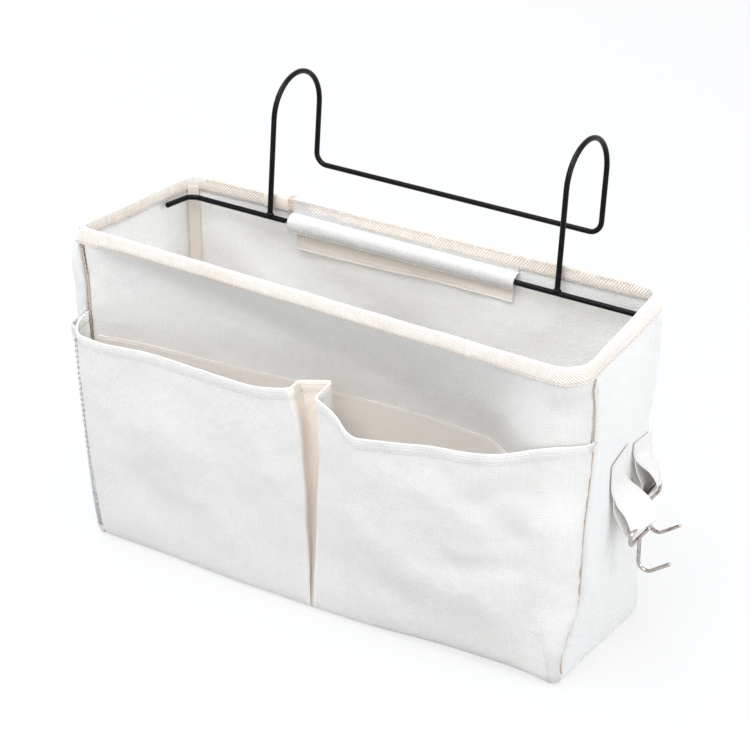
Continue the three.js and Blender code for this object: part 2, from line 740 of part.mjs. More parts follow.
// Section of one face of the flap in (y, z), from the seam round the front of the bar to the foot
function flapLine(radius, back, seamZ) {
  const fall = new THREE.Vector2(back - barY, flapFoot - barZ);
  const tangent = fall.angle() - Math.acos(radius / fall.length());
  const points = [new THREE.Vector2(wallFaceY, seamZ), new THREE.Vector2(barY, barZ + radius)];
  for (let step = 1; step <= LOOP_SEGMENTS; step++) {
    const angle = Math.PI / 2 + (tangent - Math.PI / 2) * step / LOOP_SEGMENTS;
    points.push(new THREE.Vector2(barY + radius * Math.cos(angle), barZ + radius * Math.sin(angle)));
  }
  points.push(new THREE.Vector2(back, flapFoot));
  return points;
}

const flapInside = flapLine(wireRadius + SEAM_GAP, flapBack, flapSeam - FLAP_CLOTH / 2);

function barFlap() {
  const radius = wireRadius + SEAM_GAP + FLAP_CLOTH;
  const outside = flapLine(radius, flapBack - FLAP_CLOTH, flapSeam + FLAP_CLOTH / 2);
  return acrossX(new THREE.Shape([...outside, ...flapInside.toReversed()]), flapLength);
}

// Fastener strip on the inside of the flap, up its slope from the foot
function flapLoopStrip() {
  const foot = flapInside[flapInside.length - 1];
  const slope = flapInside[flapInside.length - 2].clone().sub(foot).normalize();
  const away = new THREE.Vector2(slope.y, -slope.x);
  const corner = (up, out) => foot.clone().addScaledVector(slope, up).addScaledVector(away, out);
  return acrossX(new THREE.Shape([
    corner(0, SEAM_GAP), corner(0, stripLayer), corner(FLAP_STRIP_HEIGHT, stripLayer),
    corner(FLAP_STRIP_HEIGHT, SEAM_GAP),
  ]), stripLength);
}

function wallHookStrip() {
  const top = flapFoot + FLAP_STRIP_HEIGHT;
  return block(
    [stripLeft, wallFaceY - STRIP_THICKNESS, top - WALL_STRIP_HEIGHT],
    [stripLeft + stripLength, wallFaceY, top],
  );
}

// Assembly

const caddy = new THREE.Group();

function add(name, shape, finish, parent = caddy) {
  const geometry = shape instanceof THREE.BufferGeometry ? shape : geometryOf(shape);
  const mesh = new THREE.Mesh(geometry, new THREE.MeshStandardMaterial(FINISHES[finish]));
  mesh.name = name;
  parent.add(mesh);
  return mesh;
}

add('front_panel', panel('front'), 'canvas');
add('back_panel', panel('back'), 'canvas');
add('left_side_panel', panel('left'), 'canvas');
add('right_side_panel', panel('right'), 'canvas');
add('base_panel', basePanel(), 'canvas');
add('base_board', baseBoard(), 'board');
add('rim_binding', rimBinding(), 'tape');
for (const [sideName, sideSign] of [['left', -1], ['right', 1]]) {
  add(`corner_tape_front_${sideName}`, cornerTape(sideSign, false), 'tape');
  add(`corner_tape_back_${sideName}`, cornerTape(sideSign, true), 'tape');
}
add('pocket_backing', pocketBacking(), 'canvas');
add('front_pocket_panel', frontPocketPanel(), 'canvas');

const net = new THREE.Group();
net.position.set(netPlaneX(NET_FOOT), netMiddle, NET_FOOT);
net.rotation.y = -netLean;
caddy.add(net);
add('net_face', netFace(), 'net', net);
const netTop = add('net_top_hem', netTopHem(), 'tape', net);
netTop.position.set(0, -netDepth / 2 + NET_THREAD + SEAM_GAP, (NET_HEIGHT - NET_FOOT) / Math.cos(netLean));
const gussetInset = netDepth / 2 - NET_THREAD;
add('net_front_gusset', netGusset(), 'net').position.y = netMiddle - gussetInset - NET_THREAD;
add('net_back_gusset', netGusset(), 'net').position.y = netMiddle + gussetInset;
add('net_bottom_hem', netBottomHem(), 'tape').position.y = netMiddle - netDepth / 2;

const tabBackY = backY - TAB_BACK_INSET;
const sides = [
  ['front', tabBackY - TAB_SPACING, TAB_FRONT_FLARE, 0],
  ['back', tabBackY, TAB_BACK_FLARE, TAB_BACK_RISE],
];
for (const [place, centre, flare, rise] of sides) {
  add(`side_tab_${place}`, sideTab(centre, flare, rise), 'canvas');
  const hook = add(`side_hook_${place}`, sideHook(), 'nickel');
  hook.position.copy(hookPivot(centre, flare, rise));
}

const hanger = new THREE.Group();
hanger.position.set(0, barY, barZ);
hanger.rotation.x = -rad(HANGER_LEAN);
caddy.add(hanger);
add('hanger_lower_bar', hangerLowerBar(), 'blackWire', hanger);
add('hanger_end_left', hangerEnd(-1), 'blackWire', hanger);
add('hanger_end_right', hangerEnd(1), 'blackWire', hanger);
add('hanger_hook_wire', hangerHookWire(), 'blackWire', hanger);
add('hanger_weld_left', hangerWeld(), 'blackWire', hanger).position.x = -POST_SPACING / 2;
add('hanger_weld_right', hangerWeld(), 'blackWire', hanger).position.x = POST_SPACING / 2;

add('bar_flap', barFlap(), 'canvas').position.x = flapLeft;
add('flap_loop_strip', flapLoopStrip(), 'strip').position.x = stripLeft;
add('wall_hook_strip', wallHookStrip(), 'strip');

export default caddy;
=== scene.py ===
"""Looks of a canvas bedside caddy with front pockets, a net pocket and a wire hanger.

Sizes are in millimetres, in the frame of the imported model: +X goes towards the
side with the hooks, -Y is the front with the pockets, and +Z goes up from the
underside of the base. MM turns them into the scene's metres.
"""

import logging
import math
from collections.abc import Callable, Iterator, Sequence
from contextlib import contextmanager
from dataclasses import dataclass, replace
from enum import Enum
from functools import cache

import bpy
import numpy as np
from mathutils import Euler, Matrix, Vector, noise


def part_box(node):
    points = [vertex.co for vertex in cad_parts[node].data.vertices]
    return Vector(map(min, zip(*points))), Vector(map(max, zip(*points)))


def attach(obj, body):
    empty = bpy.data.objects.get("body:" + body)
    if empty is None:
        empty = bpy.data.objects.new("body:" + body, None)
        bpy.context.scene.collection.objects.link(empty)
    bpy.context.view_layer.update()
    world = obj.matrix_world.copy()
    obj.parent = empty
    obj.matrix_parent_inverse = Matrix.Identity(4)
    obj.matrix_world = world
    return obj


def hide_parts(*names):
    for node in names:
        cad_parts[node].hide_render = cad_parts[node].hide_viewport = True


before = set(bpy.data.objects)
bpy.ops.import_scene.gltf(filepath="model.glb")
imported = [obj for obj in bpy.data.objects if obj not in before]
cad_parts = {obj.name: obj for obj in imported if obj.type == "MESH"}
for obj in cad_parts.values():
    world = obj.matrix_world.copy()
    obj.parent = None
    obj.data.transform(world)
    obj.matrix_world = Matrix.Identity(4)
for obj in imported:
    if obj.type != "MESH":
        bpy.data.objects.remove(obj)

MM = 0.001
LOG = logging.getLogger("caddy")
Piece = bpy.types.Object
Material = bpy.types.Material
Socket = bpy.types.NodeSocket
Colour = tuple[float, float, float]
Span = tuple[float, float]
Point = tuple[float, float, float]
Crease = tuple[float, float, float, float, float, float]
Run = tuple[np.ndarray, np.ndarray]
UP = np.array([0.0, 0.0, 1.0])


class Body(Enum):
    """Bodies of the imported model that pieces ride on."""

    BAG = "bag"
    HANGER = "hanger"
    FLAP = "flap"
    HOOK_FRONT = "hook_front"
    HOOK_BACK = "hook_back"


class Slot(Enum):
    """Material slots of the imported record."""

    CANVAS = "canvas"
    TAPE = "tape"
    NET = "net"
    BOARD = "board"
    STRIP = "strip"
    WIRE = "black_wire"
    NICKEL = "nickel"


class Weave(Enum):
    """How the threads of a cloth cross."""

    PLAIN = "plain"
    HERRINGBONE = "herringbone"
    NAPPED = "napped"


@dataclass(frozen=True)
class Profile:
    """A smooth line through measured places that never overshoots them."""

    places: tuple[float, ...]
    values: tuple[float, ...]

    def at(self, where: np.ndarray | float) -> np.ndarray:
        """Read the line.

        Args:
            where: places to read it at, held to its two ends.

        Returns:
            The values there.
        """
        x, y = np.asarray(self.places, float), np.asarray(self.values, float)
        step = np.diff(x)
        slope = np.diff(y) / step
        before, after = slope[:-1], slope[1:]
        steady = before * after > 0
        lean = np.concatenate(([slope[0]], np.zeros(len(x) - 2), [slope[-1]]))
        total = np.where(steady, before + after, 1.0)
        lean[1:-1] = np.where(steady, 2 * before * after / total, 0.0)
        w = np.clip(np.asarray(where, float), x[0], x[-1])
        i = np.clip(np.searchsorted(x, w, side="right") - 1, 0, len(step) - 1)
        t = (w - x[i]) / step[i]
        back = 1 - t
        ends = y[i] * (1 + 2 * t) * back**2 + y[i + 1] * t * t * (3 - 2 * t)
        return ends + step[i] * (lean[i] * t * back**2 - lean[i + 1] * t * t * back)


def ease(amount: np.ndarray | float) -> np.ndarray:
    """Smooth step from 0 to 1."""
    t = np.clip(np.asarray(amount, float), 0.0, 1.0)
    return t * t * (3 - 2 * t)


def stretch(s: np.ndarray, start: float, edge: float) -> np.ndarray:
    """1 on the side of the bag from a starting place, easing to 0 at its two ends."""
    return ease((s - start) / edge) * ease((start + 1 - s) / edge)


def unit(vectors: np.ndarray) -> np.ndarray:
    """Vectors of length one along the last axis."""
    return vectors / np.maximum(np.linalg.norm(vectors, axis=-1, keepdims=True), 1e-9)


def ripple(points: np.ndarray, size: float, seed: float) -> np.ndarray:
    """Read smooth noise at points.

    Args:
        points: places in millimetres, last axis x, y, z.
        size: width of one wave in millimetres.
        seed: shift that tells one cloth's creases from another's.

    Returns:
        Values from about -1 to 1.
    """
    flat = points.reshape(-1, 3) / size + seed
    return np.array([noise.noise(Vector(p)) for p in flat]).reshape(points.shape[:-1])


def soft_folds(places: np.ndarray, creases: Sequence[Crease]) -> np.ndarray:
    """Soft folds and dents of a used cloth.

    Args:
        places: places on the cloth, two coordinates in the last axis.
        creases: each fold's start and end, its width, and how far it stands out.

    Returns:
        Distances out from the cloth.
    """
    out = np.zeros(places.shape[:-1])
    for x0, z0, x1, z1, width, height in creases:
        start, way = np.array([x0, z0], float), np.array([x1 - x0, z1 - z0], float)
        share = np.clip((places - start) @ way / (way @ way), 0, 1)
        gap = np.linalg.norm(places - start - share[..., None] * way, axis=-1)
        out += height * np.exp(-((gap / width) ** 2))
    return out


def net_normals(net: np.ndarray) -> np.ndarray:
    """Outward normals of a net whose columns go round and rows go up."""
    return unit(np.cross(np.gradient(net, axis=1), np.gradient(net, axis=0)))


def reach_along(line: np.ndarray) -> np.ndarray:
    """Distance along a line of points, from its first point to each."""
    return np.concatenate(([0.0], np.cumsum(np.linalg.norm(np.diff(line, axis=0), axis=1))))


def crowded(count: int, crowding: float = 0.8) -> np.ndarray:
    """Places from 0 to 1 that crowd towards both ends."""
    t = np.linspace(0.0, 1.0, count)
    return t - crowding * np.sin(2 * np.pi * t) / (2 * np.pi)


def rounded_rows(rows: np.ndarray, times: int = 2) -> np.ndarray:
    """Cut the corners of each row of points.

    Args:
        rows: points, shape rows by columns by 3.
        times: rounds of cutting; each about doubles the columns.

    Returns:
        The rounded rows, with their end points kept.
    """
    for _ in range(times):
        near = 0.75 * rows[:, :-1] + 0.25 * rows[:, 1:]
        far = 0.25 * rows[:, :-1] + 0.75 * rows[:, 1:]
        cut = np.stack((near, far), axis=2).reshape(rows.shape[0], -1, 3)
        rows = np.concatenate((rows[:, :1], cut, rows[:, -1:]), axis=1)
    return rows


def clear_selection() -> None:
    """Deselect every object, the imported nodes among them."""
    bpy.ops.object.select_all(action="DESELECT")


def pick(piece: Piece) -> None:
    """Make one piece the only selected and active one."""
    clear_selection()
    piece.select_set(True)
    bpy.context.view_layer.objects.active = piece


def apply_modifier(piece: Piece, kind: str, **settings: object) -> None:
    """Add one modifier to a piece and apply it.

    Args:
        piece: the piece to change.
        kind: Blender's modifier type.
        settings: the modifier's own settings.
    """
    pick(piece)
    modifier = piece.modifiers.new(kind.lower(), kind)
    for key, value in settings.items():
        setattr(modifier, key, value)
    bpy.ops.object.modifier_apply(modifier=modifier.name)


def smooth(piece: Piece, angle: float = 50.0) -> None:
    """Shade a piece smooth, with edges kept where it turns more than the angle."""
    pick(piece)
    bpy.ops.object.shade_smooth_by_angle(angle=math.radians(angle))


@contextmanager
def editing(piece: Piece, select_all: bool = True) -> Iterator[None]:
    """Edit a piece's mesh inside a with block.

    Args:
        piece: the piece.
        select_all: whether all of it is selected first, or what was selected stays.
    """
    pick(piece)
    bpy.ops.object.mode_set(mode="EDIT")
    if select_all:
        bpy.ops.mesh.select_all(action="SELECT")
    yield
    bpy.ops.object.mode_set(mode="OBJECT")


def pick_edges(piece: Piece, wanted: Callable[..., bool]) -> None:
    """Select some edges of a piece and no others.

    Args:
        piece: the piece.
        wanted: tells from an edge's two vertices whether to select it.
    """
    with editing(piece):
        bpy.ops.mesh.select_mode(type="EDGE")
        bpy.ops.mesh.select_all(action="DESELECT")
    for edge in piece.data.edges:
        edge.select = wanted(*(piece.data.vertices[i] for i in edge.vertices))


def lay_net(name: str, net: np.ndarray, thickness: float = 0.0, ring: bool = False) -> Piece:
    """Lay a grid primitive over a net of points, as a sheet of cloth.

    Args:
        name: the piece's name.
        net: points in millimetres, rows by columns by 3.
        thickness: the cloth's thickness in millimetres, inwards from the net.
        ring: whether the last column meets the first.

    Returns:
        The new piece, with its UV map in metres along the threads.
    """
    rows, columns = net.shape[:2]
    clear_selection()
    bpy.ops.mesh.primitive_grid_add(x_subdivisions=columns - 1, y_subdivisions=rows - 1, size=1)
    piece = bpy.context.object
    piece.name = piece.data.name = name
    piece.data.vertices.foreach_set("co", (net * MM).astype(np.float32).ravel())
    along = np.linalg.norm(np.diff(net, axis=0), axis=2)
    u = np.broadcast_to(reach_along(net[rows // 2]), (rows, columns))
    v = np.concatenate((np.zeros((1, columns)), np.cumsum(along, axis=0)))
    threads = np.stack((u, v), axis=2).reshape(-1, 2) * MM
    corner = np.empty(len(piece.data.loops), np.int32)
    piece.data.loops.foreach_get("vertex_index", corner)
    piece.data.uv_layers.active.data.foreach_set("uv", threads[corner].astype(np.float32).ravel())
    piece.data.update()
    if ring:
        with editing(piece):
            bpy.ops.mesh.remove_doubles(threshold=1e-5)
    if thickness:
        apply_modifier(piece, "SOLIDIFY", thickness=thickness * MM, offset=-1.0)
    smooth(piece)
    return piece


class WireBender:
    """Bends one length of wire from straight runs and round bends, as a wire former does."""

    def __init__(
        self, name: str, start: np.ndarray, heading: np.ndarray, diameter: float, sides: int = 20
    ) -> None:
        """Start a wire.

        Args:
            name: the piece's name.
            start: middle of its first end.
            heading: direction that it sets out in.
            diameter: thickness of the wire.
            sides: facets round it.
        """
        self.place = np.asarray(start, float)
        self.heading = unit(np.asarray(heading, float))
        clear_selection()
        turn = Vector(self.heading).to_track_quat("Z", "Y").to_euler()
        bpy.ops.mesh.primitive_circle_add(
            vertices=sides, radius=diameter / 2 * MM, fill_type="NOTHING",
            location=self.place * MM, rotation=turn,
        )
        self.piece = bpy.context.object
        self.piece.name = self.piece.data.name = name
        bpy.ops.object.transform_apply(location=True, rotation=True, scale=True)
        bpy.ops.object.mode_set(mode="EDIT")
        bpy.ops.mesh.select_all(action="SELECT")

    def run(self, length: float) -> "WireBender":
        """Go straight on for a length."""
        move = self.heading * length
        bpy.ops.mesh.extrude_region_move(TRANSFORM_OT_translate={"value": move * MM})
        self.place = self.place + move
        return self

    def bend(self, radius: float, degrees: float, towards: np.ndarray, steps: int = 10) -> "WireBender":
        """Go round a bend.

        Args:
            radius: of the wire's middle.
            degrees: how far it turns.
            towards: direction, across the heading, of the bend's centre.
            steps: rings along the bend.

        Returns:
            The same bender.
        """
        side = np.asarray(towards, float)
        side = unit(side - self.heading * (side @ self.heading))
        centre, axis = self.place + side * radius, np.cross(self.heading, side)
        bpy.ops.mesh.spin(
            steps=steps, angle=-math.radians(degrees), center=tuple(centre * MM), axis=tuple(axis)
        )
        turn = np.array(Matrix.Rotation(math.radians(degrees), 3, Vector(axis)))
        self.place = centre + turn @ (self.place - centre)
        self.heading = unit(turn @ self.heading)
        return self

    def cut(self, rounding: float = 0.0) -> Piece:
        """Cut the wire off and close its two ends.

        Args:
            rounding: radius of the edge of each end.

        Returns:
            The wire.
        """
        bpy.ops.mesh.select_all(action="SELECT")
        bpy.ops.mesh.remove_doubles(threshold=1e-6)
        bpy.ops.mesh.fill_holes(sides=0)
        bpy.ops.mesh.normals_make_consistent(inside=False)
        bpy.ops.object.mode_set(mode="OBJECT")
        if rounding:
            apply_modifier(
                self.piece, "BEVEL", width=rounding * MM, segments=3,
                limit_method="ANGLE", angle_limit=math.radians(60),
            )
        smooth(self.piece, 40)
        return self.piece


class Nodes:
    """Shader nodes of one material or world, joined by short calls."""

    def __init__(self, owner: Material | bpy.types.World) -> None:
        """Open the node tree of a new material or world."""
        owner.use_nodes = True
        self.owner, self.tree = owner, owner.node_tree

    @property
    def shader(self) -> bpy.types.Node:
        """The material's Principled shader."""
        return self.tree.nodes["Principled BSDF"]

    def add(self, kind: str, **settings: object) -> bpy.types.Node:
        """Add a node of a kind with its settings."""
        node = self.tree.nodes.new(kind)
        for key, value in settings.items():
            setattr(node, key, value)
        return node

    def feed(self, socket: Socket, value: object) -> None:
        """Link an output to a socket, or set a plain value on it."""
        if isinstance(value, Socket):
            self.tree.links.new(value, socket)
        else:
            socket.default_value = value

    def place(self, kind: str) -> Socket:
        """Texture coordinates of a kind."""
        return self.add("ShaderNodeTexCoord").outputs[kind]

    def math(self, operation: str, *values: object) -> Socket:
        """Add one step of arithmetic and give its result."""
        node = self.add("ShaderNodeMath", operation=operation)
        for socket, value in zip(node.inputs, values):
            self.feed(socket, value)
        return node.outputs[0]

    def times(self, first: object, second: object) -> Socket:
        """Multiply two values."""
        return self.math("MULTIPLY", first, second)

    def plus(self, first: object, second: object) -> Socket:
        """Add two values."""
        return self.math("ADD", first, second)

    def ridge(self, threads: Socket) -> Socket:
        """Round ridges, 0 to 1, one for each thread counted."""
        return self.math("ABSOLUTE", self.math("SINE", self.times(threads, math.pi)))

    def blend(self, amount: object, first: object, second: object) -> Socket:
        """Mix two colours by an amount and give the result."""
        node = self.add("ShaderNodeMix", data_type="RGBA")
        for index, value in zip((0, 6, 7), (amount, first, second)):
            plain = isinstance(value, (Socket, float))
            self.feed(node.inputs[index], value if plain else (*value, 1.0))
        return node.outputs[2]

    def cloud(self, vector: Socket, waves: Point, detail: float = 2.0) -> Socket:
        """Read noise.

        Args:
            vector: the coordinates.
            waves: waves for each unit of them.
            detail: octaves of finer noise.

        Returns:
            The noise, about 0 to 1.
        """
        mapping = self.add("ShaderNodeMapping")
        self.feed(mapping.inputs["Vector"], vector)
        mapping.inputs["Scale"].default_value = waves
        node = self.add("ShaderNodeTexNoise")
        self.feed(node.inputs["Vector"], mapping.outputs[0])
        node.inputs["Scale"].default_value = 1.0
        node.inputs["Detail"].default_value = detail
        return node.outputs[0]

    def spread(self, value: Socket, low: float, high: float, to_low: float, to_high: float) -> Socket:
        """Map one range of a value to another, held to its ends."""
        node = self.add("ShaderNodeMapRange")
        for socket, item in zip(node.inputs, (value, low, high, to_low, to_high)):
            self.feed(socket, item)
        return node.outputs[0]

    def relief(self, height: Socket, distance: float) -> None:
        """Send a height to the shader's normal."""
        bump = self.add("ShaderNodeBump")
        bump.inputs["Strength"].default_value = 1.0
        bump.inputs["Distance"].default_value = distance
        self.feed(bump.inputs["Height"], height)
        self.feed(self.shader.inputs["Normal"], bump.outputs[0])

    def gloss(self, **values: object) -> None:
        """Set or feed the shader's own sockets by name, with _ for a space."""
        for key, value in values.items():
            self.feed(self.shader.inputs[key.replace("_", " ")], value)


@dataclass(frozen=True)
class Finish:
    """What a surface looks like: its name, its main colour and its nodes."""

    name: str
    colour: Colour

    def nodes(self) -> Nodes:
        """Nodes of a new material with the finish's name."""
        return Nodes(bpy.data.materials.new(self.name))

    def material(self) -> Material:
        """Build the finish as a material."""
        raise NotImplementedError


@dataclass(frozen=True)
class ClothFinish(Finish):
    """A woven cloth: its colours, threads, slubs and flecks, with painted shade in the hollows between
    its threads.

    The pitch and the relief of its threads are in millimetres, and the ends of its band of painted warm
    shade, along the cloth, in metres.
    """

    # hollow: painted shade for the hollows between threads, and the colour that random patches and
    # streaks lean towards.
    hollow: Colour
    weave: Weave = Weave.PLAIN
    pitch: float = 1.15
    relief: float = 0.36
    rumple: float = 1.6
    flecks: float = 0.0
    light_through: float = 0.0
    # band and its colour: painted warm shade laid along the floor of the pleat.
    band: Span = (0.0, 0.0)
    pleat_shade_colour: Colour = (0.98, 0.845, 0.725)
    fleck_colour: Colour = (0.45, 0.30, 0.20)

    def threads(self, n: Nodes, u: Socket, v: Socket) -> Socket:
        """Height of the threads, 0 to 1.

        Args:
            n: the finish's nodes.
            u: place across the cloth, in threads.
            v: place along the cloth, in threads.

        Returns:
            The height.
        """
        if self.weave is Weave.HERRINGBONE:
            return n.ridge(n.plus(u, n.math("PINGPONG", v, 5.0)))
        over = n.math("PINGPONG", n.plus(n.math("FLOOR", u), n.math("FLOOR", v)), 1.0)
        under = n.math("SUBTRACT", 1.0, over)
        return n.plus(n.times(n.ridge(u), over), n.times(n.ridge(v), under))

    def shaded(self, n: Nodes, place: Socket, lit: Socket) -> Socket:
        """Colour of the threads with painted shade in the hollows, and soft patches and streaks.

        Args:
            n: the finish's nodes.
            place: place on the cloth.
            lit: how far a place stands out of the hollows.

        Returns:
            The colour.
        """
        # Painted shade: places low in the weave take the hollow colour.
        colour = n.blend(n.spread(lit, 0.15, 0.75, 0.0, 1.0), self.hollow, self.colour)
        patch = n.cloud(place, (14.0, 14.0, 1.0), 3.0)
        colour = n.blend(n.spread(patch, 0.45, 0.75, 0.0, 0.35), colour, self.hollow)
        streaks = [n.cloud(place, waves) for waves in ((520.0, 120.0, 1.0), (120.0, 520.0, 1.0))]
        streak = n.math("MAXIMUM", *streaks)
        return n.blend(n.spread(streak, 0.45, 0.75, 0.0, 0.5), colour, self.hollow)

    def with_pleat_shade(self, n: Nodes, across: Socket, colour: Socket) -> Socket:
        """Colour with the band of painted warm shade laid over it."""
        first, last = self.band
        enter = n.spread(across, first - 0.008, first + 0.002, 0.0, 1.0)
        leave = n.spread(across, last - 0.002, last + 0.004, 1.0, 0.0)
        return n.blend(n.times(n.times(enter, leave), 0.8), colour, self.pleat_shade_colour)

    def flecked(self, n: Nodes, place: Socket, colour: Socket) -> Socket:
        """Colour with small, rare flecks of seed husk."""
        cells = n.add("ShaderNodeTexVoronoi")
        n.feed(cells.inputs["Vector"], place)
        cells.inputs["Scale"].default_value = 75.0
        near = n.math("LESS_THAN", cells.outputs["Distance"], 0.035)
        chosen = n.add("ShaderNodeSeparateColor")
        n.feed(chosen.inputs[0], cells.outputs["Color"])
        rare = n.math("LESS_THAN", chosen.outputs[0], 0.16)
        return n.blend(n.times(n.times(near, rare), self.flecks), colour, self.fleck_colour)

    def material(self) -> Material:
        """Build the cloth as a material."""
        n = self.nodes()
        place = n.place("UV")
        split = n.add("ShaderNodeSeparateXYZ")
        n.feed(split.inputs[0], place)
        fine = 1000.0 / self.pitch
        warp, weft = n.cloud(place, (fine, 22.0, 1.0)), n.cloud(place, (22.0, fine, 1.0))
        slub = n.plus(n.times(warp, 0.6), n.times(weft, 0.4))
        if self.weave is Weave.NAPPED:
            height = n.cloud(place, (2600.0, 2600.0, 1.0), 3.0)
        else:
            wander = n.cloud(place, (60.0, 60.0, 1.0))
            u, v = (n.plus(n.math("DIVIDE", way, self.pitch * MM), wander) for way in split.outputs[:2])
            height = n.times(self.threads(n, u, v), n.spread(slub, 0.3, 0.7, 0.55, 1.0))
        colour = self.shaded(n, place, n.plus(n.times(height, 0.55), n.times(slub, 0.45)))
        # Painted warm shade along the pleat's floor.
        if self.band[1] > self.band[0]:
            colour = self.with_pleat_shade(n, split.outputs[0], colour)
        if self.flecks:
            colour = self.flecked(n, place, colour)
        n.gloss(Base_Color=colour, Roughness=0.92, Sheen_Weight=0.25, Sheen_Roughness=0.5)
        n.gloss(Specular_IOR_Level=0.15, Subsurface_Weight=self.light_through)
        n.gloss(Subsurface_Radius=(1.0, 0.92, 0.85), Subsurface_Scale=0.004)
        rumple = n.cloud(place, (120.0, 120.0, 1.0), 3.0)
        n.relief(n.plus(height, n.times(rumple, self.rumple)), self.relief * MM)
        return n.owner


@dataclass(frozen=True)
class ThreadFinish(Finish):
    """Sewing thread: twisted, a little glossy."""

    def material(self) -> Material:
        """Build the thread as a material."""
        n = self.nodes()
        twist = n.cloud(n.place("Object"), (900.0, 900.0, 900.0))
        dark = tuple(c * 0.82 for c in self.colour)
        n.gloss(Base_Color=n.blend(n.spread(twist, 0.35, 0.65, 0.0, 1.0), dark, self.colour))
        n.gloss(Roughness=0.7, Sheen_Weight=0.2, Specular_IOR_Level=0.25)
        n.relief(twist, 0.0001)
        return n.owner


@dataclass(frozen=True)
class MetalFinish(Finish):
    """Coated or plated wire, with a fine unevenness in its gloss and patches of a second colour, which
    on the nickel are painted dark reflections.
    """

    # Second colour in patches: on the nickel, painted dark reflections of the surroundings; on the black
    # coating, a faint change of tone.
    wear_and_dark_reflection: Colour
    metallic: float
    roughness: float
    specular: float = 0.5

    def material(self) -> Material:
        """Build the metal as a material."""
        n = self.nodes()
        place = n.place("Object")
        flow = n.cloud(place, (180.0, 180.0, 180.0), 4.0)
        # Patches of the second colour: painted dark reflections on the nickel.
        n.gloss(Base_Color=n.blend(n.spread(flow, 0.5, 0.8, 0.0, 1.0), self.colour, self.wear_and_dark_reflection))
        n.gloss(Metallic=self.metallic, Specular_IOR_Level=self.specular)
        n.gloss(Roughness=n.spread(flow, 0.3, 0.7, self.roughness * 0.85, self.roughness * 1.2))
        n.relief(n.cloud(place, (700.0, 700.0, 700.0)), 0.00003)
        return n.owner


@dataclass(frozen=True)
class BoardFinish(Finish):
    """Stiff grey-brown board with pressed fibres."""

    fibre: Colour

    def material(self) -> Material:
        """Build the board as a material."""
        n = self.nodes()
        fibres = n.cloud(n.place("Object"), (900.0, 260.0, 900.0), 3.0)
        n.gloss(Base_Color=n.blend(n.spread(fibres, 0.35, 0.65, 0.0, 1.0), self.fibre, self.colour))
        n.gloss(Roughness=0.85, Specular_IOR_Level=0.3)
        n.relief(fibres, 0.0002)
        return n.owner


class Finishes:
    """All the finishes of the caddy."""

    # The second colour of each cloth is the painted shade of the hollows between its threads.
    CANVAS = ClothFinish(
        "canvas", (0.925, 0.898, 0.86), (0.83, 0.782, 0.724), flecks=0.6, light_through=0.6
    )
    # Painted shade: a darker copy of the canvas for the front wall, which sags in under the rim.
    SHADED_FRONT = ClothFinish("shaded_front_canvas", (0.87, 0.845, 0.81), (0.77, 0.722, 0.665), flecks=0.6)
    POCKET = ClothFinish("pleated_canvas", (0.91, 0.883, 0.845), (0.79, 0.745, 0.69), flecks=0.4)
    # Painted light: a brighter, warmer copy of the canvas for the lining behind the pockets, for the
    # warm light bounced and let through there.
    WARM_LIT_LINING = ClothFinish("lining", (0.97, 0.90, 0.825), (0.92, 0.835, 0.75), pitch=0.9)
    BINDING = ClothFinish(
        "binding_twill", (0.95, 0.922, 0.885), (0.74, 0.62, 0.51),
        Weave.HERRINGBONE, 2.4, 0.5, rumple=0.3,
    )
    TAPE = ClothFinish(
        "seam_tape", (0.88, 0.79, 0.71), (0.78, 0.66, 0.56), Weave.HERRINGBONE, 1.2, 0.2
    )
    NET = ClothFinish("net_yarn", (0.92, 0.915, 0.90), (0.85, 0.84, 0.82), pitch=0.5, rumple=0.2)
    HEM = ClothFinish("white_tape", (0.92, 0.905, 0.88), (0.83, 0.81, 0.77), pitch=0.8, rumple=0.3)
    STRIP = ClothFinish("loop_strip", (0.99, 0.90, 0.82), (0.94, 0.83, 0.735), Weave.NAPPED, 1.0, 0.5)
    # Painted light: a brighter copy of the canvas for the tabs, to lift the shade they fall in.
    LIT_TAB = ClothFinish("lit_tab_canvas", (0.97, 0.945, 0.91), (0.88, 0.83, 0.77), pitch=1.0)
    # Painted shade: a darker copy of the canvas for the flap over the bar.
    FLAP = ClothFinish("shaded_flap_canvas", (0.78, 0.76, 0.735), (0.60, 0.57, 0.54), pitch=1.3, relief=0.42)
    TAN_THREAD = ThreadFinish("tan_thread", (0.64, 0.49, 0.37))
    WHITE_THREAD = ThreadFinish("white_thread", (0.84, 0.82, 0.78))
    WIRE = MetalFinish("black_coating", (0.004, 0.004, 0.005), (0.008, 0.008, 0.009), 0.0, 0.22, 0.12)
    # Its darker patch colour is painted dark reflection.
    NICKEL = MetalFinish("nickel_plating", (0.50, 0.46, 0.43), (0.14, 0.10, 0.09), 1.0, 0.2)
    BOARD = BoardFinish("stiff_board", (0.46, 0.38, 0.28), (0.36, 0.29, 0.21))


@cache
def material_of(finish: Finish) -> Material:
    """The material of a finish, built once."""
    return finish.material()


def settle(piece: Piece, slot: Slot, finish: Finish, *nodes: str, body: Body = Body.BAG) -> None:
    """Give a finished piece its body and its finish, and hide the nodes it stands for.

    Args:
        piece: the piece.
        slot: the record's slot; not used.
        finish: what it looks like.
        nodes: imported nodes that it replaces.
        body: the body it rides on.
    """
    piece.data.materials.clear()
    piece.data.materials.append(material_of(finish))
    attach(piece, body.value)
    if nodes:
        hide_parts(*nodes)
    LOG.info("piece %s on %s, %d faces", piece.name, body.value, len(piece.data.polygons))


@dataclass(frozen=True)
class Stitch:
    """Distance from stitch to stitch, length of thread that shows, and the thread's thickness."""

    pitch: float
    length: float
    thread: float


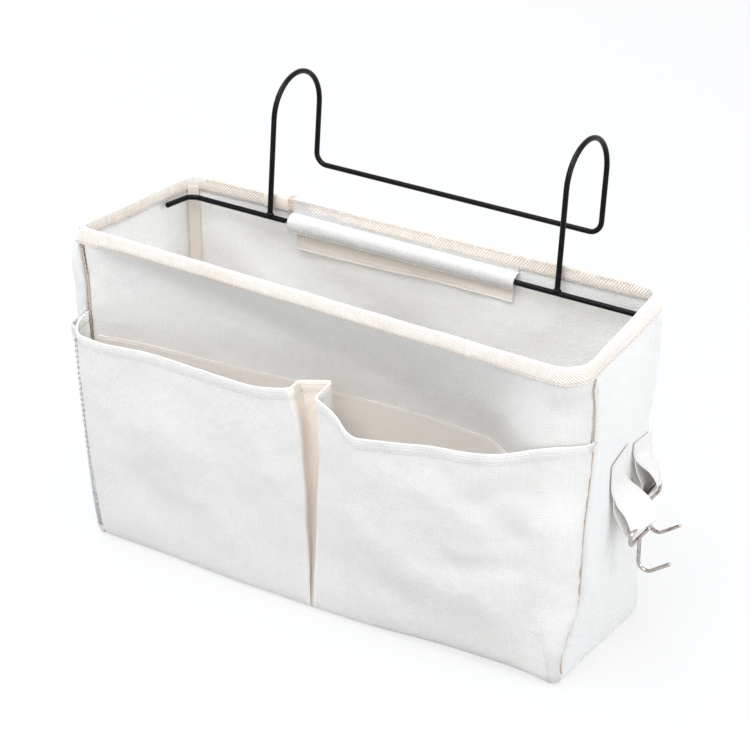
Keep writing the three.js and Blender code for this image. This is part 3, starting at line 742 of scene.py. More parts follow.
def sew(
    name: str, runs: Sequence[Run], stitch: Stitch, slot: Slot,
    finish: Finish = Finishes.WHITE_THREAD, body: Body = Body.BAG,
) -> Piece:
    """Sew runs of stitches, each a small spindle of thread lying on the cloth.

    Args:
        name: the piece's name.
        runs: pairs of points along a run and the cloth's normals there.
        stitch: size of the stitches.
        slot: the record's slot.
        finish: the thread.
        body: the body that they ride on.

    Returns:
        One settled piece that holds all the stitches.
    """
    clear_selection()
    bpy.ops.mesh.primitive_uv_sphere_add(segments=6, ring_count=4, radius=0.5)
    spindle = bpy.context.object
    bpy.ops.transform.resize(value=(stitch.thread, stitch.thread, stitch.length))
    bpy.ops.object.transform_apply(location=False, rotation=False, scale=True)
    shape = np.array([v.co[:] for v in spindle.data.vertices])
    faces = [tuple(p.vertices) for p in spindle.data.polygons]
    points: list[np.ndarray] = []
    polygons: list[tuple[int, ...]] = []
    half = stitch.pitch * 0.45
    for line, normal in runs:
        reach = reach_along(line)
        for place in np.arange(stitch.pitch / 2, reach[-1], stitch.pitch):
            first, last, up = (
                np.array([np.interp(where, reach, track[:, k]) for k in range(3)])
                for where, track in ((place - half, line), (place + half, line), (place, normal))
            )
            up, way = unit(up), unit(last - first)
            side = unit(np.cross(up, way))
            centre = (first + last) / 2 + up * stitch.thread * 0.22
            start = len(points) * len(shape)
            points.append(centre + shape @ np.stack((side, up, way)))
            polygons += [tuple(i + start for i in face) for face in faces]
    old = spindle.data
    mesh = bpy.data.meshes.new(name)
    mesh.from_pydata((np.concatenate(points) * MM).tolist(), [], polygons)
    spindle.data = mesh
    spindle.name = name
    bpy.data.meshes.remove(old)
    smooth(spindle, 80)
    settle(spindle, slot, finish, body=body)
    return spindle


@dataclass(frozen=True)
class BagForm:
    """The slack outline of the standing bag.

    A place round the bag is a number s: 0 to 1 the front, 1 to 2 its right
    corner, 2 to 3 the right side, and so on to 8, anticlockwise from above.
    """

    front_left: tuple[Profile, Profile] = (
        Profile((0, 100, 203, 238, 253), (-200.0, -201.0, -201.0, -203.0, -201.2)),
        Profile((0, 253), (-62.5, -64.2)),
    )
    front_right: tuple[Profile, Profile] = (
        Profile(
            (0, 19, 36, 63, 105, 163, 213, 232, 250),
            (191, 192, 193.5, 197, 199.5, 201.5, 203, 203.5, 202.9),
        ),
        Profile((0, 36, 100, 160, 250), (-57, -59, -61.5, -63, -64.4)),
    )
    back_right: tuple[Profile, Profile] = (
        Profile(
            (0, 27, 146, 160, 174, 206, 232, 243, 254),
            (194.6, 194.6, 195, 195.6, 197.5, 200.6, 200.6, 198.6, 194.4),
        ),
        Profile((0, 254), (63.6, 65.0)),
    )
    back_left: tuple[Profile, Profile] = (
        Profile((0, 248), (-195.0, -197.3)),
        Profile((0, 248), (65.0, 66.1)),
    )
    radii: tuple[Profile, Profile, Profile, Profile] = (
        Profile((0, 203, 238, 250), (6.5, 6.0, 4.5, 4.5)),
        Profile((0, 19, 36, 63, 105, 163, 213, 232, 250), (8, 10, 16, 26, 25, 31, 28, 21, 21)),
        Profile((0, 250), (10.0, 12.0)),
        Profile((0, 250), (9.0, 10.0)),
    )
    rim_places: tuple[float, ...] = (0, 1, 2, 3, 4, 5, 6, 7, 8)
    rim_heights: tuple[float, ...] = (252.3, 248.0, 248.0, 253.2, 253.2, 247.4, 247.4, 252.3, 252.3)
    valley: Profile = Profile(
        (-200, -140, -83, -24, 17, 57, 97, 136, 180), (230, 226, 218, 202, 194, 185, 175, 170, 165)
    )
    valley_depth: Profile = Profile(
        (-190, -171, -129, -92, -58, -30, 3, 40, 70, 99, 120, 145, 168, 182),
        (0, 5, 10, 13.5, 16.5, 19, 20.5, 22.5, 24, 22.5, 20, 16, 8, 0),
    )
    foot_wave: Profile = Profile((-190, -150, -60, 0, 65, 130, 186), (-1, -1.5, -4.5, -4.2, -2, 0, 0.5))
    foot_round: Profile = Profile((0, 0.6, 0.82, 0.92, 1, 1.6, 2, 8), (4, 4, 11, 12, 9, 6, 4, 4))
    seam_dip: float = 3.2
    seam_reach: float = 6.5
    corner_puff: Profile = Profile(
        (0, 8, 30, 100, 150, 200, 222, 244, 252), (0, 1.2, 3, 5, 6, 6.6, 6, 1.6, 0)
    )
    seam_top: float = 238.0

    def rim(self, s: np.ndarray) -> np.ndarray:
        """Height of the cloth's upper edge."""
        return np.interp(np.mod(s, 8.0), self.rim_places, self.rim_heights)

    def plan(self, s: np.ndarray, z: np.ndarray) -> np.ndarray:
        """Outline before it slackens.

        Args:
            s: places round the bag.
            z: heights.

        Returns:
            x and y in the last axis.
        """
        s, z = np.broadcast_arrays(np.mod(np.asarray(s, float), 8.0), np.asarray(z, float))
        tracks = (self.front_left, self.front_right, self.back_right, self.back_left)
        corners = [np.stack((x.at(z), y.at(z)), axis=-1) for x, y in tracks]
        radii = [r.at(z)[..., None] for r in self.radii]
        out = np.zeros(s.shape + (2,))
        for i in range(4):
            here, there, after = corners[i], corners[(i + 1) % 4], corners[(i + 2) % 4]
            ahead, onward = unit(there - here), unit(after - there)
            start, end = here + radii[i] * ahead, there - radii[(i + 1) % 4] * ahead
            leave = there + radii[(i + 1) % 4] * onward
            f = (s - 2 * i)[..., None]
            out = np.where((f >= 0) & (f < 1), start + f * (end - start), out)
            t = f - 1
            share = ((1 - t) ** 2, math.sqrt(2) * t * (1 - t), t**2)
            arc = share[0] * end + share[1] * there + share[2] * leave
            arc = arc / (share[0] + share[1] + share[2])
            out = np.where((t >= 0) & (t < 1), arc, out)
        return out

    def sag(self, s: np.ndarray, x: np.ndarray, z: np.ndarray) -> np.ndarray:
        """How far the empty front wall falls in below the rim."""
        low, ridge = self.valley.at(x), self.rim(s) - 9
        above = np.clip((z - low) / (ridge - low), 0, 1)
        below = np.clip((low - z) / (low - 12), 0, 1)
        fall = np.where(z > low, 1 - above**1.5, np.cos(below * np.pi / 2) ** 1.6)
        return self.valley_depth.at(x) * fall * (ease(s / 0.06) * ease((1 - s) / 0.12)) * (s < 1)

    def inset(self, s: np.ndarray, z: np.ndarray) -> np.ndarray:
        """How far the rounded foot and the front right seam are drawn in."""
        turn = self.foot_round.at(s)
        foot = turn - np.sqrt(np.maximum(turn**2 - np.maximum(turn - np.maximum(z, 0), 0) ** 2, 0))
        away = np.where(s < 2, (2 - s) * 1.57 * self.radii[1].at(z), (s - 2) * 95.0)
        dip = self.seam_dip * np.exp(-((away / self.seam_reach) ** 2))
        return foot + dip * ease(z / 14) * ease((self.seam_top - z) / 20)

    def surface(self, s: np.ndarray, z: np.ndarray, slack: float = 1.0) -> np.ndarray:
        """Outer face of the standing bag.

        Args:
            s: places round the bag.
            z: heights.
            slack: 1 for the cloth as it falls in, 0 for its taut outline.

        Returns:
            Points, x, y and z in the last axis.
        """
        s, z = np.broadcast_arrays(np.mod(np.asarray(s, float), 8.0), np.asarray(z, float))
        flat = self.plan(s, z)
        x, y = flat[..., 0], flat[..., 1]
        foot = 1 - ease(z / 55)
        free = slack * ease(z / 60) * ease((self.rim(s) - z) / 45)
        y = y + foot * self.foot_wave.at(x) * np.where(s < 1, 1.0, ease((2 - s) / 0.9)) * (s < 2)
        y = y + slack * self.sag(s, x, z)
        back = 2.4 * np.sin(x / 47 + z / 61) + 1.7 * np.sin(x / 23 - z / 38)
        y = y + stretch(s, 4, 0.15) * free * back
        x = x + stretch(s, 2, 0.2) * free * (1.5 * np.sin(z / 33 + y / 29) - 1.2)
        x = x + stretch(s, 6, 0.2) * free * (1.0 + 1.2 * np.sin(z / 37 - y / 27))
        ahead = unit(self.plan(s + 0.02, z) - self.plan(s - 0.02, z))
        inset = self.inset(s, z)
        x, y = x - inset * ahead[..., 1], y + inset * ahead[..., 0]
        puff = 0.72 * (self.corner_puff.at(z) * np.sin(np.clip((s - 6.86) / 1.14, 0, 1) * np.pi) ** 1.2)
        return np.stack((x - puff, y - puff, z), axis=-1)

    def normal(self, s: np.ndarray, z: np.ndarray, slack: float = 1.0) -> np.ndarray:
        """Outward normals of the outer face."""
        s, z = np.broadcast_arrays(np.asarray(s, float), np.asarray(z, float))
        across = self.surface(s + 0.01, z, slack) - self.surface(s - 0.01, z, slack)
        up = self.surface(s, z + 1, slack) - self.surface(s, z - 1, slack)
        return unit(np.cross(across, up))

    def off(
        self, s: np.ndarray, z: np.ndarray, out: np.ndarray | float, slack: float = 1.0
    ) -> np.ndarray:
        """Points at a distance out from the outer face."""
        return self.surface(s, z, slack) + self.normal(s, z, slack) * np.asarray(out, float)[..., None]

    def along(self, start: float, distances: np.ndarray, z: np.ndarray) -> np.ndarray:
        """Places at distances round the bag from a starting place.

        Args:
            start: the starting place.
            distances: millimetres, anticlockwise positive.
            z: heights, one for each row of the result.

        Returns:
            Places s, one row for each height.
        """
        s = start + np.linspace(-1, 1, 321)
        rows = []
        for height in np.asarray(z, float):
            line = self.plan(s, np.full_like(s, height))
            reach = reach_along(line)
            rows.append(np.interp(distances, reach - reach[160], s))
        return np.array(rows)

    def place_on(
        self, side: int, axis: int, where: np.ndarray, z: np.ndarray, end: float = 0.9999
    ) -> np.ndarray:
        """Places s on one side of the bag that have a given x or y.

        Args:
            side: place where the side starts.
            axis: 0 for x, 1 for y.
            where: the coordinate.
            z: heights.
            end: share of the side that counts as its far end.

        Returns:
            The places.
        """
        first, last = (self.plan(np.full_like(z, side + f), z)[..., axis] for f in (0.0, end))
        return side + (where - first) / (last - first)

    def front_place(self, x: np.ndarray, z: np.ndarray) -> np.ndarray:
        """Places s on the front that have a given x."""
        return self.place_on(0, 0, x, z, 0.99999)


@dataclass(frozen=True)
class Wall:
    """One wall of the bag between two corner seams.

    Attributes:
        node: the node that it stands for.
        start: place of its first seam round the bag.
        end: place of its last seam.
        columns: columns of its net.
        seed: shift of its creases.
        grooves: how deep its first and last seams are drawn in.
        finish: its cloth.
        creases: its soft folds.
    """

    node: str
    start: float
    end: float
    columns: int
    seed: float
    grooves: Span
    finish: Finish = Finishes.CANVAS
    creases: tuple[Crease, ...] = ()


@dataclass
class Shell:
    """The bag's four sewn walls, its base and the board in it."""

    form: BagForm
    canvas: float = 1.2
    row_pitch: float = 3.4
    allowance: float = 8.0
    walls: tuple[Wall, ...] = (
        Wall("front_panel", 0.0, 2.0, 150, 1.3, (3.2, 1.6), Finishes.SHADED_FRONT),
        Wall(
            "right_side_panel", 2.0, 3.5, 56, 11.7, (1.6, 1.2),
            creases=(
                (-20, 215, 30, 190, 12, -1.4), (-30, 70, 15, 45, 12, 1.3), (40, 90, 50, 40, 9, -1.2),
            ),
        ),
        Wall(
            "back_panel", 3.5, 5.5, 140, 23.1, (1.2, 1.2),
            creases=(
                (-165, 205, -110, 150, 15, -2.4), (-110, 150, -40, 120, 17, -1.8),
                (160, 200, 100, 140, 15, -2.4), (100, 140, 50, 105, 17, -1.8),
                (-60, 185, 10, 165, 14, 1.6), (-140, 95, -60, 60, 16, 2.0), (120, 75, 60, 45, 15, 1.8),
                (-20, 80, 30, 50, 15, -1.6), (-175, 120, -160, 50, 11, -1.6),
                (172, 130, 160, 60, 11, 1.4),
            ),
        ),
        Wall(
            "left_side_panel", 5.5, 8.0, 64, 37.9, (1.2, 3.2),
            creases=((-30, 215, 20, 200, 10, -1.4), (30, 120, -10, 60, 12, 1.4)),
        ),
    )

    def net(self, wall: Wall) -> np.ndarray:
        """Net of a wall, with its creases, its puckers and its drawn-in seams."""
        s = (wall.start + (wall.end - wall.start) * crowded(wall.columns))[None, :]
        turn = 1 - np.sin(np.linspace(math.pi / 2, 0.0, 8)[:-1])[:, None]
        count = int(250 / self.row_pitch)
        top, foot = self.form.rim(s), self.form.foot_round.at(s)
        z = np.concatenate((turn * foot, foot + np.linspace(0, 1, count)[:, None] * (top - foot)))
        net = self.form.surface(np.broadcast_to(s, z.shape), z)
        reach = reach_along(net[count // 2])
        near = np.minimum(reach, reach[-1] - reach)[None, :]
        free = ease(z / 30) * ease((top - z) / 26)
        across = 0 if np.ptp(net[..., 0]) > np.ptp(net[..., 1]) else 1
        crease = 1.0 * ripple(net, 34, wall.seed) + 0.45 * ripple(net, 13, wall.seed + 7)
        crease = crease + soft_folds(net[..., [across, 2]], wall.creases)
        pucker = ripple(net * (0.3, 0.3, 1.0), 7, wall.seed + 3) * np.exp(-((near / 9) ** 2)) * 0.7
        depth = np.where(reach < reach[-1] / 2, *wall.grooves)[None, :]
        sink = -depth * np.exp(-((near / 1.6) ** 2)) + 0.28 * depth * np.exp(-(((near - 6) / 4) ** 2))
        return net + net_normals(net) * (free * (crease + pucker) + sink * ease(z / 12))[..., None]

    def level_foot(self, wall: Piece) -> None:
        """Press a wall's turned-in foot flat on the floor."""
        places = np.empty(len(wall.data.vertices) * 3, np.float32)
        wall.data.vertices.foreach_get("co", places)
        places[2::3] = np.maximum(places[2::3], 0.0)
        wall.data.vertices.foreach_set("co", places)
        wall.data.update()

    def base(self) -> None:
        """Lay the base cloth."""
        s = np.linspace(0, 8, 161)[None, :]
        share = np.array([0.0, 0.25, 0.5, 0.75, 0.93, 1.0])[:, None]
        edge = self.form.surface(s, np.full_like(s, 0.02))
        centre = np.array([-1.0, 1.0, 0.0])
        net = centre + share[..., None] * (edge - centre)
        net[..., 2] = 1.3 - 0.05 * share
        cloth = lay_net("base_cloth", net[::-1], self.canvas, ring=True)
        with editing(cloth):
            bpy.ops.mesh.normals_make_consistent(inside=False)
        settle(cloth, Slot.CANVAS, Finishes.CANVAS, "base_panel")

    def board(self) -> None:
        """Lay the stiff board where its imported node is, a little clear of the walls."""
        low, high = (Vector(corner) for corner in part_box("base_board"))
        low, high = low + Vector((0.0055, 0.0065, 0)), high - Vector((0.0055, 0.0025, 0))
        clear_selection()
        size = [(b - a) for a, b in zip(low, high)]
        bpy.ops.mesh.primitive_cube_add(size=1, location=[(a + b) / 2 for a, b in zip(low, high)])
        bpy.ops.transform.resize(value=size)
        bpy.ops.object.transform_apply(location=True, rotation=False, scale=True)
        board = bpy.context.object
        board.name = board.data.name = "base_stiffener"
        pick_edges(board, lambda a, b: abs(a.co.z - b.co.z) > size[2] / 2)
        with editing(board, select_all=False):
            bpy.ops.mesh.bevel(offset=0.008, segments=6, affect="EDGES")
        apply_modifier(board, "BEVEL", width=0.0004, segments=2, limit_method="ANGLE")
        smooth(board, 30)
        settle(board, Slot.BOARD, Finishes.BOARD, "base_board")

    def seam_threads(self) -> None:
        """Sew the thread that shows at the bottom of each corner seam."""
        z = np.linspace(6, 236, 120)
        for name, seams, finish in (
            ("front_seam_stitches", ((2.004, 0.4), (7.999, -1.2)), Finishes.TAN_THREAD),
            ("back_seam_stitches", ((3.5, -0.7), (5.5, -0.7)), Finishes.WHITE_THREAD),
        ):
            runs = [
                (self.form.off(seam, z, np.full_like(z, out)), self.form.normal(seam, z))
                for seam, out in seams
            ]
            sew(name, runs, Stitch(3.4, 4.2, 1.5), Slot.TAPE, finish)

    def build(self) -> None:
        """Build the walls, the base and the board."""
        for wall in self.walls:
            net = self.net(wall)
            piece = lay_net("wall_" + wall.node, net, self.canvas)
            self.level_foot(piece)
            settle(piece, Slot.CANVAS, wall.finish, wall.node)
        self.base()
        self.board()
        self.seam_threads()


@dataclass
class RimBinding:
    """Twill tape folded over the rim, sewn through, with its join at the back."""

    form: BagForm
    height: float = 12.0
    inner_height: float = 9.5
    wall: float = 1.2
    tape: float = 0.7
    columns: int = 520
    join: Span = (-107.0, -129.0)
    clearance: float = 0.95
    fold: float = 1.2

    def section(self, lift: float = 0.0) -> tuple[np.ndarray, np.ndarray]:
        """Cross-section of the folded tape.

        Args:
            lift: extra distance off the wall.

        Returns:
            Distances out from the wall's outer face, and heights over the rim.
        """
        out, inner = self.clearance + lift, -self.wall - self.clearance - lift
        face = np.linspace(-self.height, -self.fold, 9)
        belly = 0.35 * np.sin((face + self.height) / (self.height - self.fold) * math.pi)
        turn = np.linspace(0, math.pi, 9)[1:-1]
        half = (out - inner) / 2
        over = (out + inner) / 2 + half * np.cos(turn), -self.fold + (half + 0.5) * np.sin(turn)
        outs = np.concatenate((out + belly, over[0], (inner - belly)[::-1]))
        inside = np.linspace(-self.fold, -self.inner_height, 9)
        return outs, np.concatenate((face, over[1], inside))

    def net(self, s: np.ndarray, lift: float = 0.0) -> np.ndarray:
        """Net of the folded tape at places round the rim."""
        outs, ups = self.section(lift)
        s = s[None, :]
        top = self.form.rim(s)
        z = top + ups[:, None]
        base = self.form.surface(np.broadcast_to(s, z.shape), np.minimum(z, top))
        normal = self.form.normal(np.broadcast_to(s, z.shape), np.broadcast_to(top - 8, z.shape))
        normal[..., 2] = 0
        net = base + unit(normal) * outs[:, None, None]
        net[..., 2] = z
        wave = ripple(net[0] * (1, 1, 0.2), 16, 5.5)
        net[..., 2] += wave[None, :] * 0.5
        net = net + unit(normal) * (ripple(net, 9, 2.2) * 0.25)[..., None]
        return net

    def build(self) -> None:
        """Sweep the tape round the rim and sew it."""
        s = np.concatenate([i + crowded(self.columns // 8, 0.3)[:-1] for i in range(8)])
        s = np.append(s, 8.0)
        net = self.net(s)
        net[:, -1] = net[:, 0]
        band = lay_net("rim_tape", net, self.tape, ring=True)
        settle(band, Slot.TAPE, Finishes.BINDING, "rim_binding")
        normals = net_normals(net)
        rows = [
            (net[1] * 0.55 + net[2] * 0.45, normals[2]),
            (net[-2] * 0.55 + net[-3] * 0.45, normals[-3]),
        ]
        sew("rim_stitches", rows, Stitch(3.6, 2.9, 0.5), Slot.TAPE, Finishes.TAN_THREAD)
        ends = self.form.place_on(4, 0, np.array(self.join), np.full(2, 240.0))
        cap = lay_net("rim_tape_join", self.net(np.linspace(*ends, 16), 0.8), self.tape)
        settle(cap, Slot.TAPE, Finishes.TAPE)
        self.fringe(ends)

    def fringe(self, ends: np.ndarray) -> None:
        """Sew the slanted whip stitches on the back rim, and fray the tape's end.

        Args:
            ends: places of the join's two ends round the rim.
        """
        runs = []
        top = 11
        for s in np.linspace(4.02, 4.98, 190):
            run = self.net(np.array([s - 0.004, s, s + 0.004]), 0.25)
            path = np.stack((run[top - 1, 0], run[top + 2, 1], run[top + 5, 2]))
            runs.append((path, np.tile(UP, (3, 1))))
        sew("rim_whip_stitches", runs, Stitch(3.4, 3.6, 0.6), Slot.TAPE, Finishes.TAN_THREAD)
        start = self.net(np.array([ends[0] - 0.002, ends[0]]), 1.0)
        reach = np.linspace(0, 1, 7)[:, None]
        runs = []
        for k, root in enumerate(start[3:-3, 0]):
            way = (3.5 + 1.5 * math.sin(2.1 * k), -1.2 * math.cos(1.7 * k), 1.6 * math.sin(3.3 * k))
            runs.append((root + reach * np.array(way), np.tile(UP, (7, 1))))
        sew("rim_join_frays", runs, Stitch(1.1, 1.3, 0.5), Slot.TAPE, Finishes.TAN_THREAD)


@dataclass
class CornerTapes:
    """Narrow tapes sewn over the seams inside the four corners."""

    form: BagForm
    half_width: float = 5.8
    wall: float = 1.2

    def build(self) -> None:
        """Lay one tape in each corner."""
        corners = {"front_left": 7.6, "front_right": 2.0, "back_right": 3.5, "back_left": 5.5}
        for name, seam in corners.items():
            z = np.linspace(5, 240, 70)
            share = np.linspace(-1, 1, 9)
            s = self.form.along(seam, share * self.half_width, z)
            inset = -self.wall - 1.2 - (3.6 if "front" in name else 0.9) * (1 - share**2)
            net = self.form.off(s, np.broadcast_to(z[:, None], s.shape), np.broadcast_to(inset, s.shape))
            net = net[:, ::-1]
            net = net + net_normals(net) * (0.5 * ripple(net, 12, seam))[..., None]
            tape = lay_net("seam_tape_" + name, net, 0.6)
            settle(tape, Slot.TAPE, Finishes.TAPE, "corner_tape_" + name)


@dataclass
class FrontPockets:
    """One panel of canvas pleated into two front pockets, and the lining behind it."""

    form: BagForm
    cloth: float = 0.9
    foot: float = 0.9
    stand_off: float = 1.6
    left_end: tuple[Point, ...] = (
        (0, 0, 187.5), (-2.6, -2.6, 185.5), (-4.2, -7, 181.5), (-3.0, -11.5, 177.8), (1.5, -14.6, 175.2)
    )
    left_hem: Profile = Profile(
        (-188, -181, -168, -150, -130, -87, -44, -18, -9),
        (175, 173.6, 174.3, 176.2, 178, 177.2, 177, 182, 185),
    )
    left_stand: float = 15.2
    right_hem: Profile = Profile(
        (10, 22, 32, 38, 46, 63, 94, 118, 138, 155, 172),
        (184, 179.5, 175, 168, 165, 167.5, 173, 176, 178, 180.5, 185.5),
    )
    right_stand: Profile = Profile(
        (10, 22, 32, 38, 46, 63, 94, 118, 138, 155, 172),
        (15, 17, 19, 20, 21, 21, 18.5, 16, 15, 9.5, 2.5),
    )
    wrap_hem: Profile = Profile((1, 1.35, 1.6, 2), (185.5, 189.5, 188.5, 184))
    wrap_stand: Profile = Profile((1, 1.35, 2), (2.5, 1.8, 1.2))
    left_fold: Profile = Profile((0, 50, 110, 150, 187), (-4, -2.6, 0.3, -0.5, -8))
    right_fold: Profile = Profile((0, 50, 110, 150, 188), (-3, 1.2, 7.5, 11.5, 11))
    floor_hem: Span = (183.0, 191.0)
    rows: int = 54
    hem: float = 7.0
    creases: tuple[Crease, ...] = (
        (96, 140, 110, 136, 17, 2.2), (55, 118, 60, 104, 14, -2.0), (68, 158, 68, 164, 6, -1.3),
        (84, 160, 86, 168, 6, 0.9),
        (103, 162, 103, 170, 7, -1.3), (121, 166, 122, 174, 7, 0.9), (139, 168, 139, 178, 7, -1.2),
        (132, 140, 156, 152, 9, -2.0), (144, 134, 160, 116, 10, -1.6), (166, 146, 174, 128, 8, 1.4),
        (84, 66, 112, 56, 14, 1.9), (132, 60, 144, 50, 12, 1.8), (118, 82, 160, 92, 9, -1.6),
        (60, 48, 78, 34, 12, -1.4), (-128, 118, -108, 96, 20, 1.6), (-152, 66, -132, 44, 18, -1.7),
        (-70, 118, -60, 84, 16, -1.5), (-92, 66, -70, 46, 16, 1.4),
        (-40, 140, -30, 110, 11, 1.2), (-165, 130, -150, 150, 12, -1.2),
    )

    def lift(self, rise: float, top: np.ndarray, s: np.ndarray | float = 0.0) -> np.ndarray:
        """Heights of a row under hem heights, over the rounded foot at places s."""
        foot = self.foot + 0.2 * self.form.foot_round.at(s)
        return foot + rise * (np.asarray(top, float) - foot)

    def standing(self, x: np.ndarray, z: np.ndarray, out: np.ndarray | float) -> np.ndarray:
        """Points that stand out in front of the taut front wall."""
        points = self.form.surface(self.form.front_place(x, z), z, 0.0)
        points[:, 1] -= self.stand_off + out
        return points

    def places(self, rise: float) -> np.ndarray:
        """One row of the panel's net, from the left corner seam to the right one.

        Args:
            rise: 0 at the foot, 1 at the hem.

        Returns:
            Points of the row.
        """
        full = math.sin(rise * math.pi / 2) ** 0.9
        end = np.array(self.left_end)
        z = self.lift(rise, end[:, 2])
        seam = self.form.surface(np.full(len(end), 7.999), z, 0.0)
        ends = seam + np.stack((end[:, 0] * full, end[:, 1] * full - self.stand_off, 0 * z), axis=1)
        fold_l, fold_r = self.left_fold.at(rise * 187), self.right_fold.at(rise * 188)
        x = np.linspace(0, 1, 17) ** 0.9 * (fold_l + 188) - 188
        left = self.standing(x, self.lift(rise, self.left_hem.at(x)), self.left_stand * full)
        x = np.linspace(fold_l - 5 * full, fold_r + 6 * full, 5)
        floor = self.standing(x, self.lift(rise, np.interp(x, (-15, 15), self.floor_hem)), 0.8 * full)
        x = np.unique(np.concatenate((np.linspace(fold_r, 50, 10), np.linspace(50, 168, 14))))
        z = self.lift(rise, self.right_hem.at(x), (x + 195) / 367)
        right = self.standing(x, z, self.right_stand.at(x) * full)
        s = np.append(np.linspace(1.06, 1.86, 8), (1.91, 1.95, 1.975, 1.994))
        z = self.lift(rise, self.wrap_hem.at(s), s)
        away = (s - 2) * 1.57 * self.form.radii[1].at(z)
        sunk = np.interp(away, (-5.0, -1.8, -0.2), (0, 0.7, 1.6))
        out = self.stand_off + (self.wrap_stand.at(s) - 1.0) * full - sunk
        return np.concatenate((ends, left, floor, right, self.form.off(s, z, out, 0.0)))

    def panel_net(self) -> np.ndarray:
        """Net of the pleated panel, outer face only."""
        rises = np.concatenate((np.linspace(0, 0.94, self.rows), np.linspace(0.945, 1, 16)))
        net = rounded_rows(np.stack([self.places(r) for r in rises]))
        steady = np.sqrt(np.maximum(np.sin(rises * math.pi), 0))
        crease = 1.6 * ripple(net, 80, 2.7) + 1.1 * ripple(net, 42, 4.4) + 0.5 * ripple(net, 15, 9.1)
        row = np.linalg.norm(np.diff(net[len(net) // 2], axis=0), axis=1)
        left_over = np.append(np.cumsum(row[::-1])[::-1], 0.0)
        pucker = 1.1 * ripple(net * (0.3, 0.3, 1.0), 8, 6.2)
        crease = crease + pucker * np.exp(-(((left_over - 5) / 9) ** 2))
        drop = (1 - rises) * 180
        crease = crease + soft_folds(net[..., [0, 2]], self.creases)
        ridge = 0.7 * ease((8.2 - drop) / 1.2) - 0.45 * np.exp(-(((drop - 6.6) / 0.8) ** 2))
        out = crease * (0.25 + 0.75 * steady)[:, None] + ridge[:, None]
        net = net + net_normals(net) * out[..., None]
        net[..., 2] = np.maximum(net[..., 2], 0.3)
        return net

    def hemmed(self, net: np.ndarray) -> np.ndarray:
        """Add the hem, rolled over the upper edge and down behind it."""
        normal = net_normals(net)[-1]
        up = unit(net[-1] - net[-3])
        steps = (0.5, -0.35), (0.62, -0.9), (0.35, -1.45), (-1.2, -1.8), (-3.5, -1.9), (-self.hem, -1.8)
        folds = [net[-1] + up * a + normal * b for a, b in steps]
        return np.concatenate((net, np.stack(folds)))

    def below_hem(self, net: np.ndarray, drop: float) -> Run:
        """Line along the panel at a drop below its upper edge.

        Args:
            net: the panel's net.
            drop: distance below the edge.

        Returns:
            Points of the line, and normals there.
        """
        normals = net_normals(net)
        share = drop / np.linalg.norm(net[-1] - net[-2], axis=1)
        low = np.clip(np.floor(share).astype(int), 0, 12)
        part = (share - low)[:, None]
        columns = np.arange(net.shape[1])
        line = net[-1 - low, columns] * (1 - part) + net[-2 - low, columns] * part
        return line, normals[-2 - low, columns]

    def pleat_band(self, net: np.ndarray) -> Span:
        """Where the floor of the pleat lies along the panel, in metres, which takes painted warm shade.

        Args:
            net: the panel's net.

        Returns:
            The floor's two ends.
        """
        row = net[len(net) // 2]
        reach = reach_along(row) * MM
        deep = reach[(np.abs(row[:, 0]) < 28) & (row[:, 1] > -70.5)]
        return (float(deep.min()), float(deep.max()))

    def bar_tacks(self, net: np.ndarray) -> Piece:
        """Sew the dense tacks that hold the hem's ends, with a few frayed threads.

        Args:
            net: the panel's net.

        Returns:
            The tacks.
        """
        lines = []
        for columns in (slice(-22, -3), slice(2, 10)):
            for drop in (0.4, 1.3, 3.1, 4.2, 5.4):
                line, normals = self.below_hem(net, drop)
                wave = 0.5 * UP * np.sin(np.arange(len(line)) * 1.9 + drop)[:, None]
                lines.append(((line + normals * 0.25 + wave)[columns], normals[columns]))
        line, normals = self.below_hem(net, 1.0)
        for k in range(7):
            start, turn = line[-20 + 2 * k], 0.8 * math.sin(2.4 * k)
            reach = np.linspace(0, 1, 8)[:, None]
            fray = start + reach * np.array([2.0 + turn, -1.2, 2.4 - 1.6 * (k % 3)]) + normals[-20] * 0.6
            lines.append((fray, np.tile(normals[-20], (8, 1))))
        return sew("pocket_tacks", lines, Stitch(1.5, 1.5, 0.55), Slot.CANVAS)

    def build(self) -> None:
        """Build the panel, its stitches and the lining."""
        net = self.panel_net()
        panel = lay_net("pocket_panel", self.hemmed(net), self.cloth)
        # The pleat's floor gets a band of painted warm shade.
        cloth = replace(Finishes.POCKET, band=self.pleat_band(net))
        settle(panel, Slot.CANVAS, cloth, "front_pocket_panel")
        runs = [self.below_hem(net, 2.0), self.below_hem(net, 6.6)]
        stitches = sew("pocket_stitches", runs, Stitch(3.0, 2.4, 0.5), Slot.CANVAS)
        sewn = [stitches, self.bar_tacks(net)]
        s, z = np.meshgrid(np.linspace(0.012, 1.3, 130), np.linspace(4, 170, 60))
        lining = lay_net("pocket_lining", self.form.off(s, z, np.full_like(s, 0.95)), 0.5)
        # The lining wears painted warm light.
        settle(lining, Slot.CANVAS, Finishes.WARM_LIT_LINING, "pocket_backing")
        s, z = s[-1], np.full(130, 167.5)
        runs = [(self.form.off(s, z, np.full(130, 1.1)), self.form.normal(s, z))]
        sewn = [sew("lining_stitches", runs, Stitch(3.2, 2.6, 0.4), Slot.CANVAS)]


